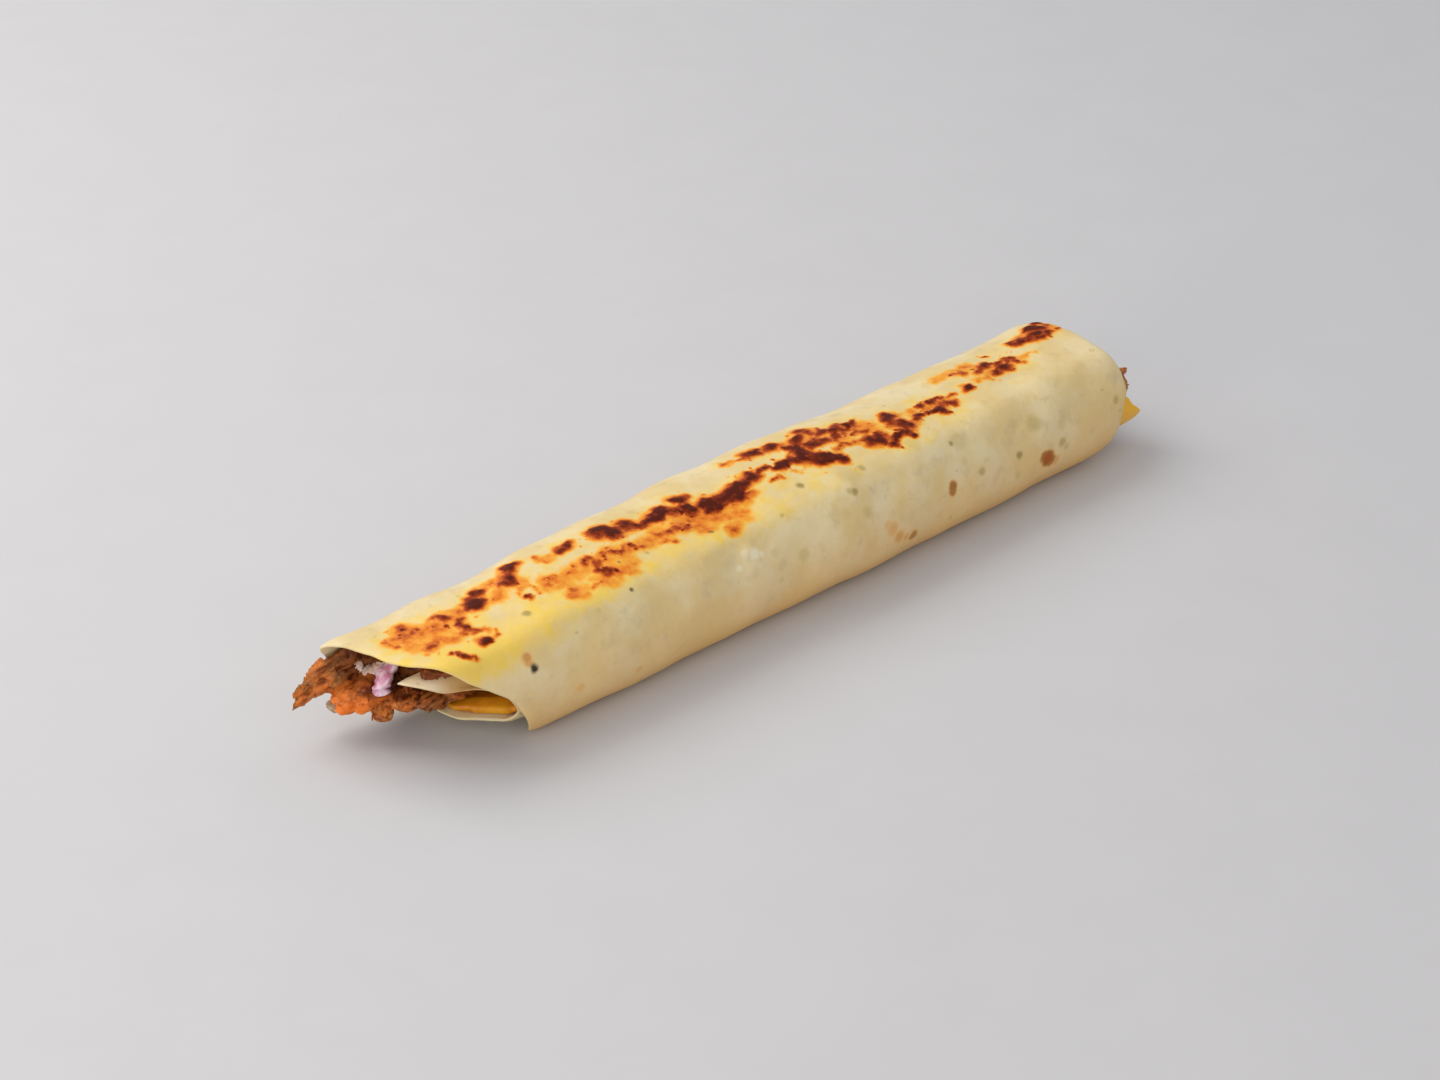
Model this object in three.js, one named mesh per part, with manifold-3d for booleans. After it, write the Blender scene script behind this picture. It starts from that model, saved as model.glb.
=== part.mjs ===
// A griddled flatbread wrap lying on its flat side: one thin sheet of bread rolled a turn and
// two thirds round a filling of pulled chicken and a layer of melted cheese, open at both ends.
// Millimetres, +Z up. X runs along the roll, with the loose, drooping end at -X. Y is across it.
import * as THREE from "three";
import { mergeVertices } from "three/addons/utils/BufferGeometryUtils.js";
import Module from "manifold-3d";

const wasm = await Module();
wasm.setup();

// ---- driving dimensions -----------------------------------------------------------------
const rollWidth = 56; // across the roll, in its middle
const rollHeight = 38; // from the flat underside to the griddled top
const looseEndHeight = 35.5; // the roll sinks towards its loose end
const looseEndX = -142; // the middle of the loose end's slanting rim
const looseEndSlant = 20.5; // how far the rim's back stands out past that, and its front falls short
const tightEndX = 136;
const breadThickness = 1.6;
const layerGap = 0.8; // between two turns of the bread
const gap = 0.3; // kept between any two pieces
const clearance = 0.35; // between the bread and what it holds
const cheeseThickness = 3.6;

// ---- the roll's own coordinates: x, an angle round it and a depth below its skin ------------
// Angle 0 is the front (-Y), 90 the top, 180 the back and -90 the underside, in degrees.
const sheetStart = -130; // the outer edge, tucked under at the back of the underside
const sheetEnd = 440; // the inner edge, past the top inside
const cheeseStart = 260; // under the middle
const cheeseEnd = 380; // half way up the front
const angleStep = 10; // between two lines of a layer, along the roll
const stationCount = 18; // along each line
const squareness = 2.45; // exponent of the roll's oval, where 2 is an ellipse
const waistHeight = 17.5; // of the roll's widest line
const underReach = 20.5; // the oval's lower half, which the flat underside cuts off at Z 0

const radians = (degrees) => (degrees * Math.PI) / 180;

// 0 below start, 1 above end and a smooth ramp between; start may be the larger one
function ramp(value, start, end) {
  const t = Math.min(1, Math.max(0, (value - start) / (end - start)));
  return t * t * (3 - 2 * t);
}

const hump = (value, middle, halfWidth) => Math.exp(-(((value - middle) / halfWidth) ** 2));
const power = (value, exponent) => Math.sign(value) * Math.abs(value) ** exponent;

// The shortest way from one angle to another, in degrees
const turnBetween = (from, to) => ((((to - from) % 360) + 540) % 360) - 180;

// Soft lumps of the filling under the bread, none on the flat underside
function lumps(x, angle) {
  const a = radians(angle);
  const away = 1 - hump(turnBetween(-90, angle), 0, 48);
  const long = 0.45 * Math.sin(x / 19 + 0.6) * Math.sin(a + 0.4);
  const short = 0.25 * Math.sin(x / 8.3 + 2 * a) + 0.2 * Math.sin(x / 5.1 - 3 * a + 1.7);
  return away * (long + short);
}

// The pressed edges between the griddled top and the front and back, sharpest at the loose end
function crease(x, angle) {
  const front = (0.9 + 1.1 * ramp(x, -60, -125)) * hump(turnBetween(56, angle), 0, 15);
  const back = 2.2 * ramp(x, -80, -140) * hump(turnBetween(128, angle), 0, 17);
  return front + back;
}

// The roll is fuller at the back of its top between the loose end and the middle
function fullness(x, angle) {
  const along = ramp(x, -122, -82) * ramp(x, 45, 5);
  return 2.5 * along * hump(turnBetween(116, angle), 0, 38);
}

// Depth is measured inwards from the skin, and every turn and layer is a depth at its angle.
function rollPoint(x, angle, depth) {
  const a = radians(angle);
  const loose = ramp(x, -70, -150);
  const halfWidth = rollWidth / 2 + 0.8 * Math.sin(x / 47 + 0.9) - 1.2 * loose - 0.8 * ramp(x, 95, 150);
  const lowered = (rollHeight - looseEndHeight) * loose - 1.4 * ramp(x, 95, 140);
  const top = rollHeight - lowered + 0.5 * Math.sin(x / 39);
  const waist = waistHeight - 1.2 * loose;
  const reach = Math.sin(a) > 0 ? top - waist : underReach - 1.2 * loose;
  const inwards = depth - lumps(x, angle) - crease(x, angle) - fullness(x, angle);
  const across = (halfWidth - inwards) * power(Math.cos(a), 2 / squareness);
  const upwards = (reach - inwards) * power(Math.sin(a), 2 / squareness);
  const sway = 1.4 * Math.sin(x / 61 + 0.5) + 1.5 * loose - 2.4 * ramp(x, -40, 20);
  return new THREE.Vector3(x, sway - across, Math.max(waist + upwards, depth));
}

// ---- the bread --------------------------------------------------------------------------
// How deep the sheet's outer face lies: it passes over its own start after one turn, sags over
// the filling inside the loose end and is lifted off the underside there.
function breadDepth(x, angle) {
  const nearEnd = ramp(x, -92, -136);
  const farEnd = ramp(x, 112, 140);
  const over = (breadThickness + layerGap) * ramp(angle, 150, 228);
  const sag = (11.5 * nearEnd + 4 * farEnd) * ramp(angle, 348, 402);
  const curl = 6.5 * nearEnd * ramp(angle, 404, sheetEnd);
  const lift = 3.2 * nearEnd * ramp(angle, 232, 262) * ramp(angle, 372, 330);
  return over + sag - curl + lift;
}

// Where each line of the sheet ends. At the loose end the rim slants to a corner at the back, the
// outer turn's underside is drawn back and the inner turn's stands out under the filling. At the
// other end the upper front stands out furthest.
function looseRim(angle) {
  const slant = looseEndSlant * Math.cos(radians(angle - 132));
  const drawnBack = 12 * hump(angle, -98, 44) + 3.6 * hump(angle, -74, 17) - 2.5 * hump(angle, 30, 28);
  const corner = 4 * hump(angle, 131, 15);
  const underLip = 11 * hump(angle, 276, 30);
  const ripple = 1.2 * Math.sin(radians(3 * angle + 40));
  return looseEndX - slant + drawnBack - corner - underLip + ripple;
}

function tightRim(angle) {
  const under = 14 * hump(turnBetween(-78, angle), 0, 25);
  const inner = 3 * ramp(angle, 240, 330);
  const slant = 3.5 * Math.cos(radians(angle - 55));
  return tightEndX + slant - under - inner + Math.sin(radians(4 * angle));
}

// A closed body from rings of points. Each end is closed by joining point k to point last - k,
// and the two halves of a ring that face each other so are split into triangles alike.
function loft(rings) {
  const count = rings[0].length;
  const positions = rings.flatMap((ring) => ring.flatMap((p) => [p.x, p.y, p.z]));
  const index = [];
  for (let r = 0; r + 1 < rings.length; r++) {
    for (let k = 0; k < count; k++) {
      const a = r * count + k;
      const b = r * count + ((k + 1) % count);
      if (k < count / 2) index.push(a, b, b + count, a, b + count, a + count);
      else index.push(a, b, a + count, b, b + count, a + count);
    }
  }
  const last = (rings.length - 1) * count;
  for (let k = 0; k + 1 < count / 2; k++) {
    const pair = [k, k + 1, count - 2 - k, count - 1 - k];
    for (const [p, q, s] of [[0, 3, 2], [0, 2, 1]]) {
      if (pair[q] === pair[s]) continue;
      index.push(pair[p], pair[q], pair[s]);
      index.push(last + pair[p], last + pair[s], last + pair[q]);
    }
  }
  const geometry = new THREE.BufferGeometry();
  geometry.setAttribute("position", new THREE.Float32BufferAttribute(positions, 3));
  geometry.setIndex(index);
  return geometry;
}

// Stations along the roll, closer together near its ends, as shares of each line's length. All
// layers use them, so that their faces run alongside each other.
const stations = Array.from({ length: stationCount + 1 }, (_, i) => {
  const t = i / stationCount;
  return t - (0.72 * Math.sin(2 * Math.PI * t)) / (2 * Math.PI);
});
const stationX = (angle, share) => THREE.MathUtils.lerp(looseRim(angle), tightRim(angle), share);

const steps = (from, to, step) =>
  Array.from({ length: Math.round((to - from) / step) + 1 }, (_, i) => from + i * step);

function breadGeometry() {
  const angles = steps(sheetStart, sheetEnd, angleStep);
  const rounding = 0.45; // of the rim: its outermost ring is this share thinner
  const ring = (share, reach, thin) => {
    const side = (outer) => (angle) => {
      const x = stationX(angle, share) + reach;
      const half = (breadThickness / 2) * (1 - thin);
      const middle = breadDepth(x, angle) + breadThickness / 2;
      return rollPoint(x, angle, middle + (outer ? -half : half));
    };
    return [...angles.map(side(false)), ...angles.map(side(true)).reverse()];
  };
  const body = stations.map((share) => ring(share, 0, 0));
  return loft([ring(0, -0.6, rounding), ...body, ring(1, 0.6, rounding)]);
}

// ---- the filling --------------------------------------------------------------------------
const fillingDepth = (x, angle) => breadDepth(x, angle) + breadThickness + clearance;

// A layer of melted cheese that runs through the roll, on the bread of the underside and front.
// It stops short inside the loose rim, and hangs out of the tight end as a tongue.
function cheeseGeometry() {
  const angles = steps(cheeseStart, cheeseEnd, angleStep);
  const tongue = (angle) => 1.2 + 19.5 * hump(angle, 337, 31);
  const inside = stations.slice(1, -1).map((share) => [share, () => 0]);
  const tip = [[1, () => -1.5], [1, (angle) => tongue(angle) * 0.55], [1, tongue]];
  const rows = [[0, () => 1.4], ...inside, ...tip];
  const rings = rows.map(([share, beyond], r) => {
    const edge = 0.35 + 0.65 * Math.sin((Math.PI * r) / (rows.length - 1)) ** 0.25;
    const side = (outer) => (angle, i, all) => {
      const x = stationX(angle, share) + beyond(angle);
      const rim = 0.4 + 0.6 * Math.sin((Math.PI * (i + 0.5)) / all.length) ** 0.5;
      const wave = 0.5 * Math.sin(x / 6 + radians(4 * angle));
      const thickness = cheeseThickness * edge * rim + wave * rim;
      return rollPoint(x, angle, fillingDepth(x, angle) + (outer ? 0 : thickness));
    };
    return [...angles.map(side(false)), ...angles.map(side(true)).reverse()];
  });
  return loft(rings);
}

// The angle of the innermost turn of the bread, at an angle from -90 to 260
const innermost = (angle) => (angle < sheetEnd - 355 ? angle + 360 : angle);

// How deep the chicken must lie, at an angle, to clear the turns of the bread that cover it
// there, and the cheese. Past the rims there is nothing to clear, and the depth is above the skin.
function chickenDepth(x, angle) {
  const turn = Math.min(angle > 200 ? angle : angle + 360, sheetEnd);
  const inside = (line) => ramp(x, looseRim(line) - 3.5, looseRim(line) - 1.2);
  const flapEnd = sheetEnd - 360 + 12;
  const covered = Math.max(ramp(angle, 216, 226), ramp(angle, flapEnd + 10, flapEnd));
  const onCheese = Math.min(1, ramp(angle, 252, 262) + ramp(angle, 38, 26));
  const outerTurn = THREE.MathUtils.lerp(-8, fillingDepth(x, angle), inside(angle));
  const layers = covered * fillingDepth(x, turn) + (cheeseThickness + 1.1) * onCheese;
  return Math.max(outerTurn, layers * inside(turn)) + 0.4;
}

// A body that fills the roll inside its layers, along some rows of stations
function heapGeometry(rows) {
  const angles = steps(-90, 260, angleStep).reverse();
  return loft(
    rows.map(([share, beyond, narrowing]) =>
      angles.map((angle) => {
        const x = stationX(innermost(angle), share) + beyond;
        return rollPoint(x, angle, chickenDepth(x, angle) + narrowing);
      }),
    ),
  );
}

// A pulled strand of meat: an oval tube along a curve, thinner at both ends
function strand(points, width, thickness) {
  const curve = new THREE.CatmullRomCurve3(points.map((p) => new THREE.Vector3(...p)));
  const count = 7;
  const sides = 7;
  const frames = curve.computeFrenetFrames(count, false);
  const rings = Array.from({ length: count + 1 }, (_, i) => {
    const centre = curve.getPointAt(i / count);
    const taper = 0.42 + 0.58 * Math.sin((Math.PI * (i + 0.6)) / (count + 1.2)) ** 0.6;
    return Array.from({ length: sides }, (_, k) => {
      const a = (2 * Math.PI * k) / sides;
      const knot = 1 + 0.14 * Math.sin(3 * a + 2.3 * i);
      const out = frames.normals[i].clone().multiplyScalar((Math.cos(a) * width * taper * knot) / 2);
      return out
        .addScaledVector(frames.binormals[i], (Math.sin(a) * thickness * taper * knot) / 2)
        .add(centre);
    });
  });
  return loft(rings);
}

// A torn lump: a ball with sides of its own lengths, roughened by waves
function chunk(centre, size, seed, detail = 2) {
  const geometry = new THREE.IcosahedronGeometry(1, detail);
  const position = geometry.getAttribute("position");
  const p = new THREE.Vector3();
  for (let i = 0; i < position.count; i++) {
    p.fromBufferAttribute(position, i);
    const waves = Math.sin(4 * p.x + seed) * Math.cos(3 * p.y - seed) + Math.sin(5 * p.z + 2 * seed);
    p.multiplyScalar(1 + 0.13 * waves);
    position.setXYZ(
      i,
      centre[0] + (p.x * size[0]) / 2,
      centre[1] + (p.y * size[1]) / 2,
      centre[2] + (p.z * size[2]) / 2,
    );
  }
  return geometry;
}

// The strip of chicken that hangs out of the loose end, as strands that lie side by side
function hangingStrip() {
  const strands = 6;
  return Array.from({ length: strands }, (_, i) => {
    const down = (i / (strands - 1) - 0.5) * 13; // across the strip
    const short = 1.6 * Math.abs(i - 2.4);
    return strand(
      [
        [-134, 13 + 0.25 * down, 21 - 0.45 * down],
        [-147, 18 + 0.2 * down, 24.3 - 0.85 * down],
        [-159.5, 23 + 0.15 * down, 22 - 0.95 * down],
        [-175.2 + short, 30 + 0.1 * down, 14.6 - 0.85 * down],
      ],
      4.6,
      5.4,
    );
  });
}

// Where the torn lumps of chicken lie, and how large they are
const looseChunks = [
  [[-152.5, 12.5, 18], [16, 13, 12.5]],
  [[-157, 19, 14], [12, 12, 11]],
  [[-147, 4.5, 14], [15, 11, 8.5]],
  [[-151, 10.5, 9.4], [13, 9, 7]],
  [[-141, 0.5, 13.6], [15, 11, 6]],
  [[-135, 12, 20], [24, 18, 13]],
  [[-132, 2, 13], [20, 18, 11]],
];
const tightChunks = [
  [[134, -8, 26], [18, 15, 11]],
  [[137, 3, 23], [15, 13, 12]],
  [[132, 11, 17], [18, 13, 14]],
  [[135, -4, 13.5], [17, 15, 11]],
  [[147.5, -15.5, 20], [16, 14, 15]],
];
const tightStrands = [
  [[119, 2, 20], [131, 1, 24], [141, -2, 25], [148, -5, 21]],
  [[119, 8, 14], [131, 9, 15], [142, 10, 14], [147, 9, 9]],
  [[119, -2, 16], [131, -7, 19], [141, -10, 18], [146, -11, 14]],
  [[119, 10, 20], [131, 13, 23], [140, 15, 22], [145, 16, 18]],
];

// A ring segment of onion, caught in the sauce on top of the torn lumps
function onionGeometry(grow = 0) {
  const curve = [[-148, 9, 25.4], [-152, 6.8, 24.4], [-154.8, 5.6, 21.6], [-155, 6.2, 18.2]];
  return strand(curve, 5.2 + 2 * grow, 2.8 + 2 * grow);
}

// A cube of pickle that has fallen against the lowest lump
const pickleGeometry = (grow = 0) => {
  const size = 4.4 + 2 * grow;
  return chunk([-159.2, 22.9, 8.8], [size + 0.8, size, size], 2.6, 1);
};

// ---- joining and cutting --------------------------------------------------------------------
function solidOf(geometry) {
  const bare = geometry.clone();
  for (const name of ["normal", "uv"]) bare.deleteAttribute(name);
  const merged = mergeVertices(bare, 1e-4);
  const mesh = new wasm.Mesh({
    numProp: 3,
    vertProperties: merged.getAttribute("position").array,
    triVerts: new Uint32Array(merged.index.array),
  });
  return new wasm.Manifold(mesh);
}

function geometryOf(solid) {
  const { vertProperties, triVerts } = solid.getMesh();
  const geometry = new THREE.BufferGeometry();
  geometry.setAttribute("position", new THREE.BufferAttribute(vertProperties, 3));
  geometry.setIndex(new THREE.BufferAttribute(triVerts, 1));
  geometry.computeVertexNormals();
  return geometry;
}

const joined = (geometries) => geometries.map(solidOf).reduce((a, b) => a.add(b));

const largest = (solid) => solid.decompose().reduce((a, b) => (b.volume() > a.volume() ? b : a));

// The room that the bread and the cheese leave, with open space past both rims
const along = stations.map((share) => [share, 0, 0.6]);
const room = solidOf(heapGeometry([[0, -30, 0], [0, -3, 0], ...along, [1, 3, 0], [1, 20, 0]]));
const cleared = (geometry) => geometryOf(largest(solidOf(geometry).intersect(room)));

// The heap inside the roll, with the pieces that show at its ends. The onion and the pickle get
// their places cut out of it.
function chickenGeometry() {
  const chunks = [...looseChunks, ...tightChunks];
  const pieces = joined([
    ...hangingStrip(),
    ...chunks.map(([centre, size], i) => chunk(centre, size, 1.7 * i)),
    ...tightStrands.map((points) => strand(points, 5.5, 4.5)),
  ]);
  const inner = stations.slice(3, -3);
  const body = inner.map((share) => [share, 0, 0]);
  const core = solidOf(heapGeometry([[inner[0], -3, 7], ...body, [inner.at(-1), 3, 7]]));
  const heap = core.add(pieces.intersect(room));
  return geometryOf(largest(heap.subtract(joined([onionGeometry(gap), pickleGeometry(gap)]))));
}

// ---- the object -------------------------------------------------------------------------------
function piece(name, geometry, color, roughness) {
  geometry.computeVertexNormals();
  const material = new THREE.MeshStandardMaterial({ color, roughness, metalness: 0 });
  const mesh = new THREE.Mesh(geometry, material);
  mesh.name = name;
  return mesh;
}

const wrap = new THREE.Group();
wrap.add(
  piece("tortilla", breadGeometry(), 0xefdfb2, 0.6),
  piece("cheese", cheeseGeometry(), 0xf0a41c, 0.35),
  piece("onion", cleared(onionGeometry()), 0xd9b3c4, 0.3),
  piece("pickle", cleared(pickleGeometry()), 0xc9cc8e, 0.35),
  piece("chicken", chickenGeometry(), 0xa8622c, 0.5),
);

// The origin is the middle of the whole wrap's box, at its underside.
const box = new THREE.Box3().setFromObject(wrap, true);
wrap.children.forEach((mesh) => {
  mesh.position.set(-(box.min.x + box.max.x) / 2, -(box.min.y + box.max.y) / 2, -box.min.z);
});

export default wrap;
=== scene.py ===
import math
import bpy
import bmesh
import numpy as np
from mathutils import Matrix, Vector, kdtree


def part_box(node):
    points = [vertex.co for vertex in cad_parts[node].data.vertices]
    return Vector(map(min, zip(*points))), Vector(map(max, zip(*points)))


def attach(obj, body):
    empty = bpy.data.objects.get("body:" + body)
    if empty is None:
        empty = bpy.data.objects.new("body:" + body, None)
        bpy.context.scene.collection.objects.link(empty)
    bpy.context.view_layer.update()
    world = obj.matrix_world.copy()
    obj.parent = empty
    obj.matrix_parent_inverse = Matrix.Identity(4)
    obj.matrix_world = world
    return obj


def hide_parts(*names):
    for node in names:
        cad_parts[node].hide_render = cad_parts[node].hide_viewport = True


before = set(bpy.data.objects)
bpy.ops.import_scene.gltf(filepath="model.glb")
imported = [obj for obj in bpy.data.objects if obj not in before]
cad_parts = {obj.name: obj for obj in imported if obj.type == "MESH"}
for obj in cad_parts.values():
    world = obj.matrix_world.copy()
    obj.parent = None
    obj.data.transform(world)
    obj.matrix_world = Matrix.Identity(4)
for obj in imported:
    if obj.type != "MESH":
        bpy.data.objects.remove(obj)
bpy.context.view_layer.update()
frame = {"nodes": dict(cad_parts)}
print("frame loaded:", ", ".join(frame["nodes"]))

# The roll is worked out in millimetres, from x along it, an angle round it and a depth below
# its skin. Angle 0 is the front, 90 the top, 180 the back and -90 the underside.
rollShape = {
    "width": 56,
    "height": 38,
    "looseEndHeight": 35.5,
    "looseEndX": -142,
    "looseEndSlant": 20.5,
    "tightEndX": 136,
    "squareness": 2.45,
    "waistHeight": 17.5,
    "underReach": 20.5,
}


def ramp(value, start, end):
    t = np.clip((value - start) / (end - start), 0, 1)
    return t * t * (3 - 2 * t)


def hump(value, middle, halfWidth):
    return np.exp(-(((value - middle) / halfWidth) ** 2))


def signedPower(value, exponent):
    return np.sign(value) * np.abs(value) ** exponent


def turnBetween(start, end):
    return ((end - start) % 360 + 540) % 360 - 180


def lumps(x, angle):
    a = np.radians(angle)
    away = 1 - hump(turnBetween(-90, angle), 0, 48)  # none on the flat underside
    long = 0.45 * np.sin(x / 19 + 0.6) * np.sin(a + 0.4)
    short = 0.25 * np.sin(x / 8.3 + 2 * a) + 0.2 * np.sin(x / 5.1 - 3 * a + 1.7)
    return away * (long + short)


def creases(x, angle):
    front = (0.9 + 1.1 * ramp(x, -60, -125)) * hump(turnBetween(56, angle), 0, 15)
    back = 2.2 * ramp(x, -80, -140) * hump(turnBetween(128, angle), 0, 17)
    return front + back


def fullness(x, angle):  # the roll is fuller at the back of its top
    along = ramp(x, -122, -82) * ramp(x, 45, 5)
    return 2.5 * along * hump(turnBetween(116, angle), 0, 38)


def section(x):
    loose = ramp(x, -70, -150)
    shape = rollShape
    uneven = 0.8 * np.sin(x / 47 + 0.9)
    halfWidth = shape["width"] / 2 + uneven - 1.2 * loose - 0.8 * ramp(x, 95, 150)
    lowered = (shape["height"] - shape["looseEndHeight"]) * loose - 1.4 * ramp(x, 95, 140)
    top = shape["height"] - lowered + 0.5 * np.sin(x / 39)
    waist = shape["waistHeight"] - 1.2 * loose
    below = shape["underReach"] - 1.2 * loose
    sway = 1.4 * np.sin(x / 61 + 0.5) + 1.5 * loose - 2.4 * ramp(x, -40, 20)
    return halfWidth, top - waist, below, waist, sway


def rollPoint(x, angle, depth):
    a = np.radians(angle)
    halfWidth, above, below, waist, sway = section(x)
    reach = np.where(np.sin(a) > 0, above, below)
    inwards = depth - lumps(x, angle) - creases(x, angle) - fullness(x, angle)
    across = (halfWidth - inwards) * signedPower(np.cos(a), 2 / rollShape["squareness"])
    upwards = (reach - inwards) * signedPower(np.sin(a), 2 / rollShape["squareness"])
    return np.stack(np.broadcast_arrays(x, sway - across, np.maximum(waist + upwards, depth)), -1)


def rollPlace(points):  # the angle and depth of points, by halving the range of depths
    x, y, z = points[:, 0], points[:, 1], points[:, 2]
    halfWidth, above, below, waist, sway = section(x)
    reach = np.where(z > waist, above, below)
    across = sway - y
    upwards = z - waist
    low = np.full(len(x), -30.0)
    high = np.minimum(halfWidth, reach) - 0.05
    n = rollShape["squareness"]
    for _ in range(30):
        inwards = (low + high) / 2
        size = (np.abs(across) / (halfWidth - inwards)) ** n + (np.abs(upwards) / (reach - inwards)) ** n
        high = np.where(size > 1, inwards, high)
        low = np.where(size > 1, low, inwards)
    sine = signedPower(upwards / (reach - inwards), n / 2)
    cosine = signedPower(across / (halfWidth - inwards), n / 2)
    angle = (np.degrees(np.arctan2(sine, cosine)) + 90) % 360 - 90
    return angle, inwards + lumps(x, angle) + creases(x, angle) + fullness(x, angle)


sheet = {
    "end": 440,  # degrees, the inner edge, past the top inside
    "thickness": 1.6,
    "layerGap": 0.8,
    # degrees from, to and between the mesh's lines; the outer edge is under the back
    "steps": ((-130, 18, 3.6), (18, 124, 1.55), (124, 236, 3.0), (236, 440, 5.0)),
    "stations": 246,  # along each line
    "dents": 0.34,  # height of the soft bumps
    "blisters": 0.5,  # height of the griddled spots
    "rimRagged": 0.55,
    "rimBulge": 0.45,
    "rimLowest": 0.4,  # height of the rim's middle line where it lies on the table
    "rimTone": 0.5,  # how much of the skin's marks the rim has
    "insideRelief": 0.6,  # how much of the skin's relief the inner face has
}


def breadDepth(x, angle):  # of the sheet's outer face, turn after turn
    nearEnd = ramp(x, -92, -136)
    farEnd = ramp(x, 112, 140)
    over = (sheet["thickness"] + sheet["layerGap"]) * ramp(angle, 150, 228)
    sag = (11.5 * nearEnd + 4 * farEnd) * ramp(angle, 348, 402)
    curl = 6.5 * nearEnd * ramp(angle, 404, sheet["end"])
    lift = 3.2 * nearEnd * ramp(angle, 232, 262) * ramp(angle, 372, 330)
    return over + sag - curl + lift


def looseRim(angle):
    slant = rollShape["looseEndSlant"] * np.cos(np.radians(angle - 132))
    drawnBack = 12 * hump(angle, -98, 44) + 3.6 * hump(angle, -74, 17) - 2.5 * hump(angle, 30, 28)
    corner = 4 * hump(angle, 131, 15)
    underLip = 11 * hump(angle, 276, 30)
    ripple = 1.2 * np.sin(np.radians(3 * angle + 40))
    return rollShape["looseEndX"] - slant + drawnBack - corner - underLip + ripple


def tightRim(angle):
    under = 14 * hump(turnBetween(-78, angle), 0, 25)
    inner = 3 * ramp(angle, 240, 330)
    slant = 3.5 * np.cos(np.radians(angle - 55))
    return rollShape["tightEndX"] + slant - under - inner + np.sin(np.radians(4 * angle))


hashing = {"primes": np.array([374761393, 668265263, 974634777]), "mixer": 1274126177, "bits": 0xFFFFFFFF}


def smoothNoise(points, scale, seed):  # from -1 to 1, the same on every run
    p = np.asarray(points, float) / scale + seed * 7.31
    cell = np.floor(p).astype(np.int64)
    f = p - cell
    f = f * f * (3 - 2 * f)

    def corner(dx, dy, dz):
        h = (cell + (dx, dy, dz)) @ hashing["primes"]
        h = h & hashing["bits"]
        h = ((h ^ (h >> 13)) * hashing["mixer"]) & hashing["bits"]
        return ((h ^ (h >> 16)) & 0xFFFF) / 32767.5 - 1

    total = 0
    for dx in (0, 1):
        for dy in (0, 1):
            for dz in (0, 1):
                weight = 1
                for k, d in enumerate((dx, dy, dz)):
                    weight = weight * (f[..., k] if d else 1 - f[..., k])
                total = total + weight * corner(dx, dy, dz)
    return total


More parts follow.
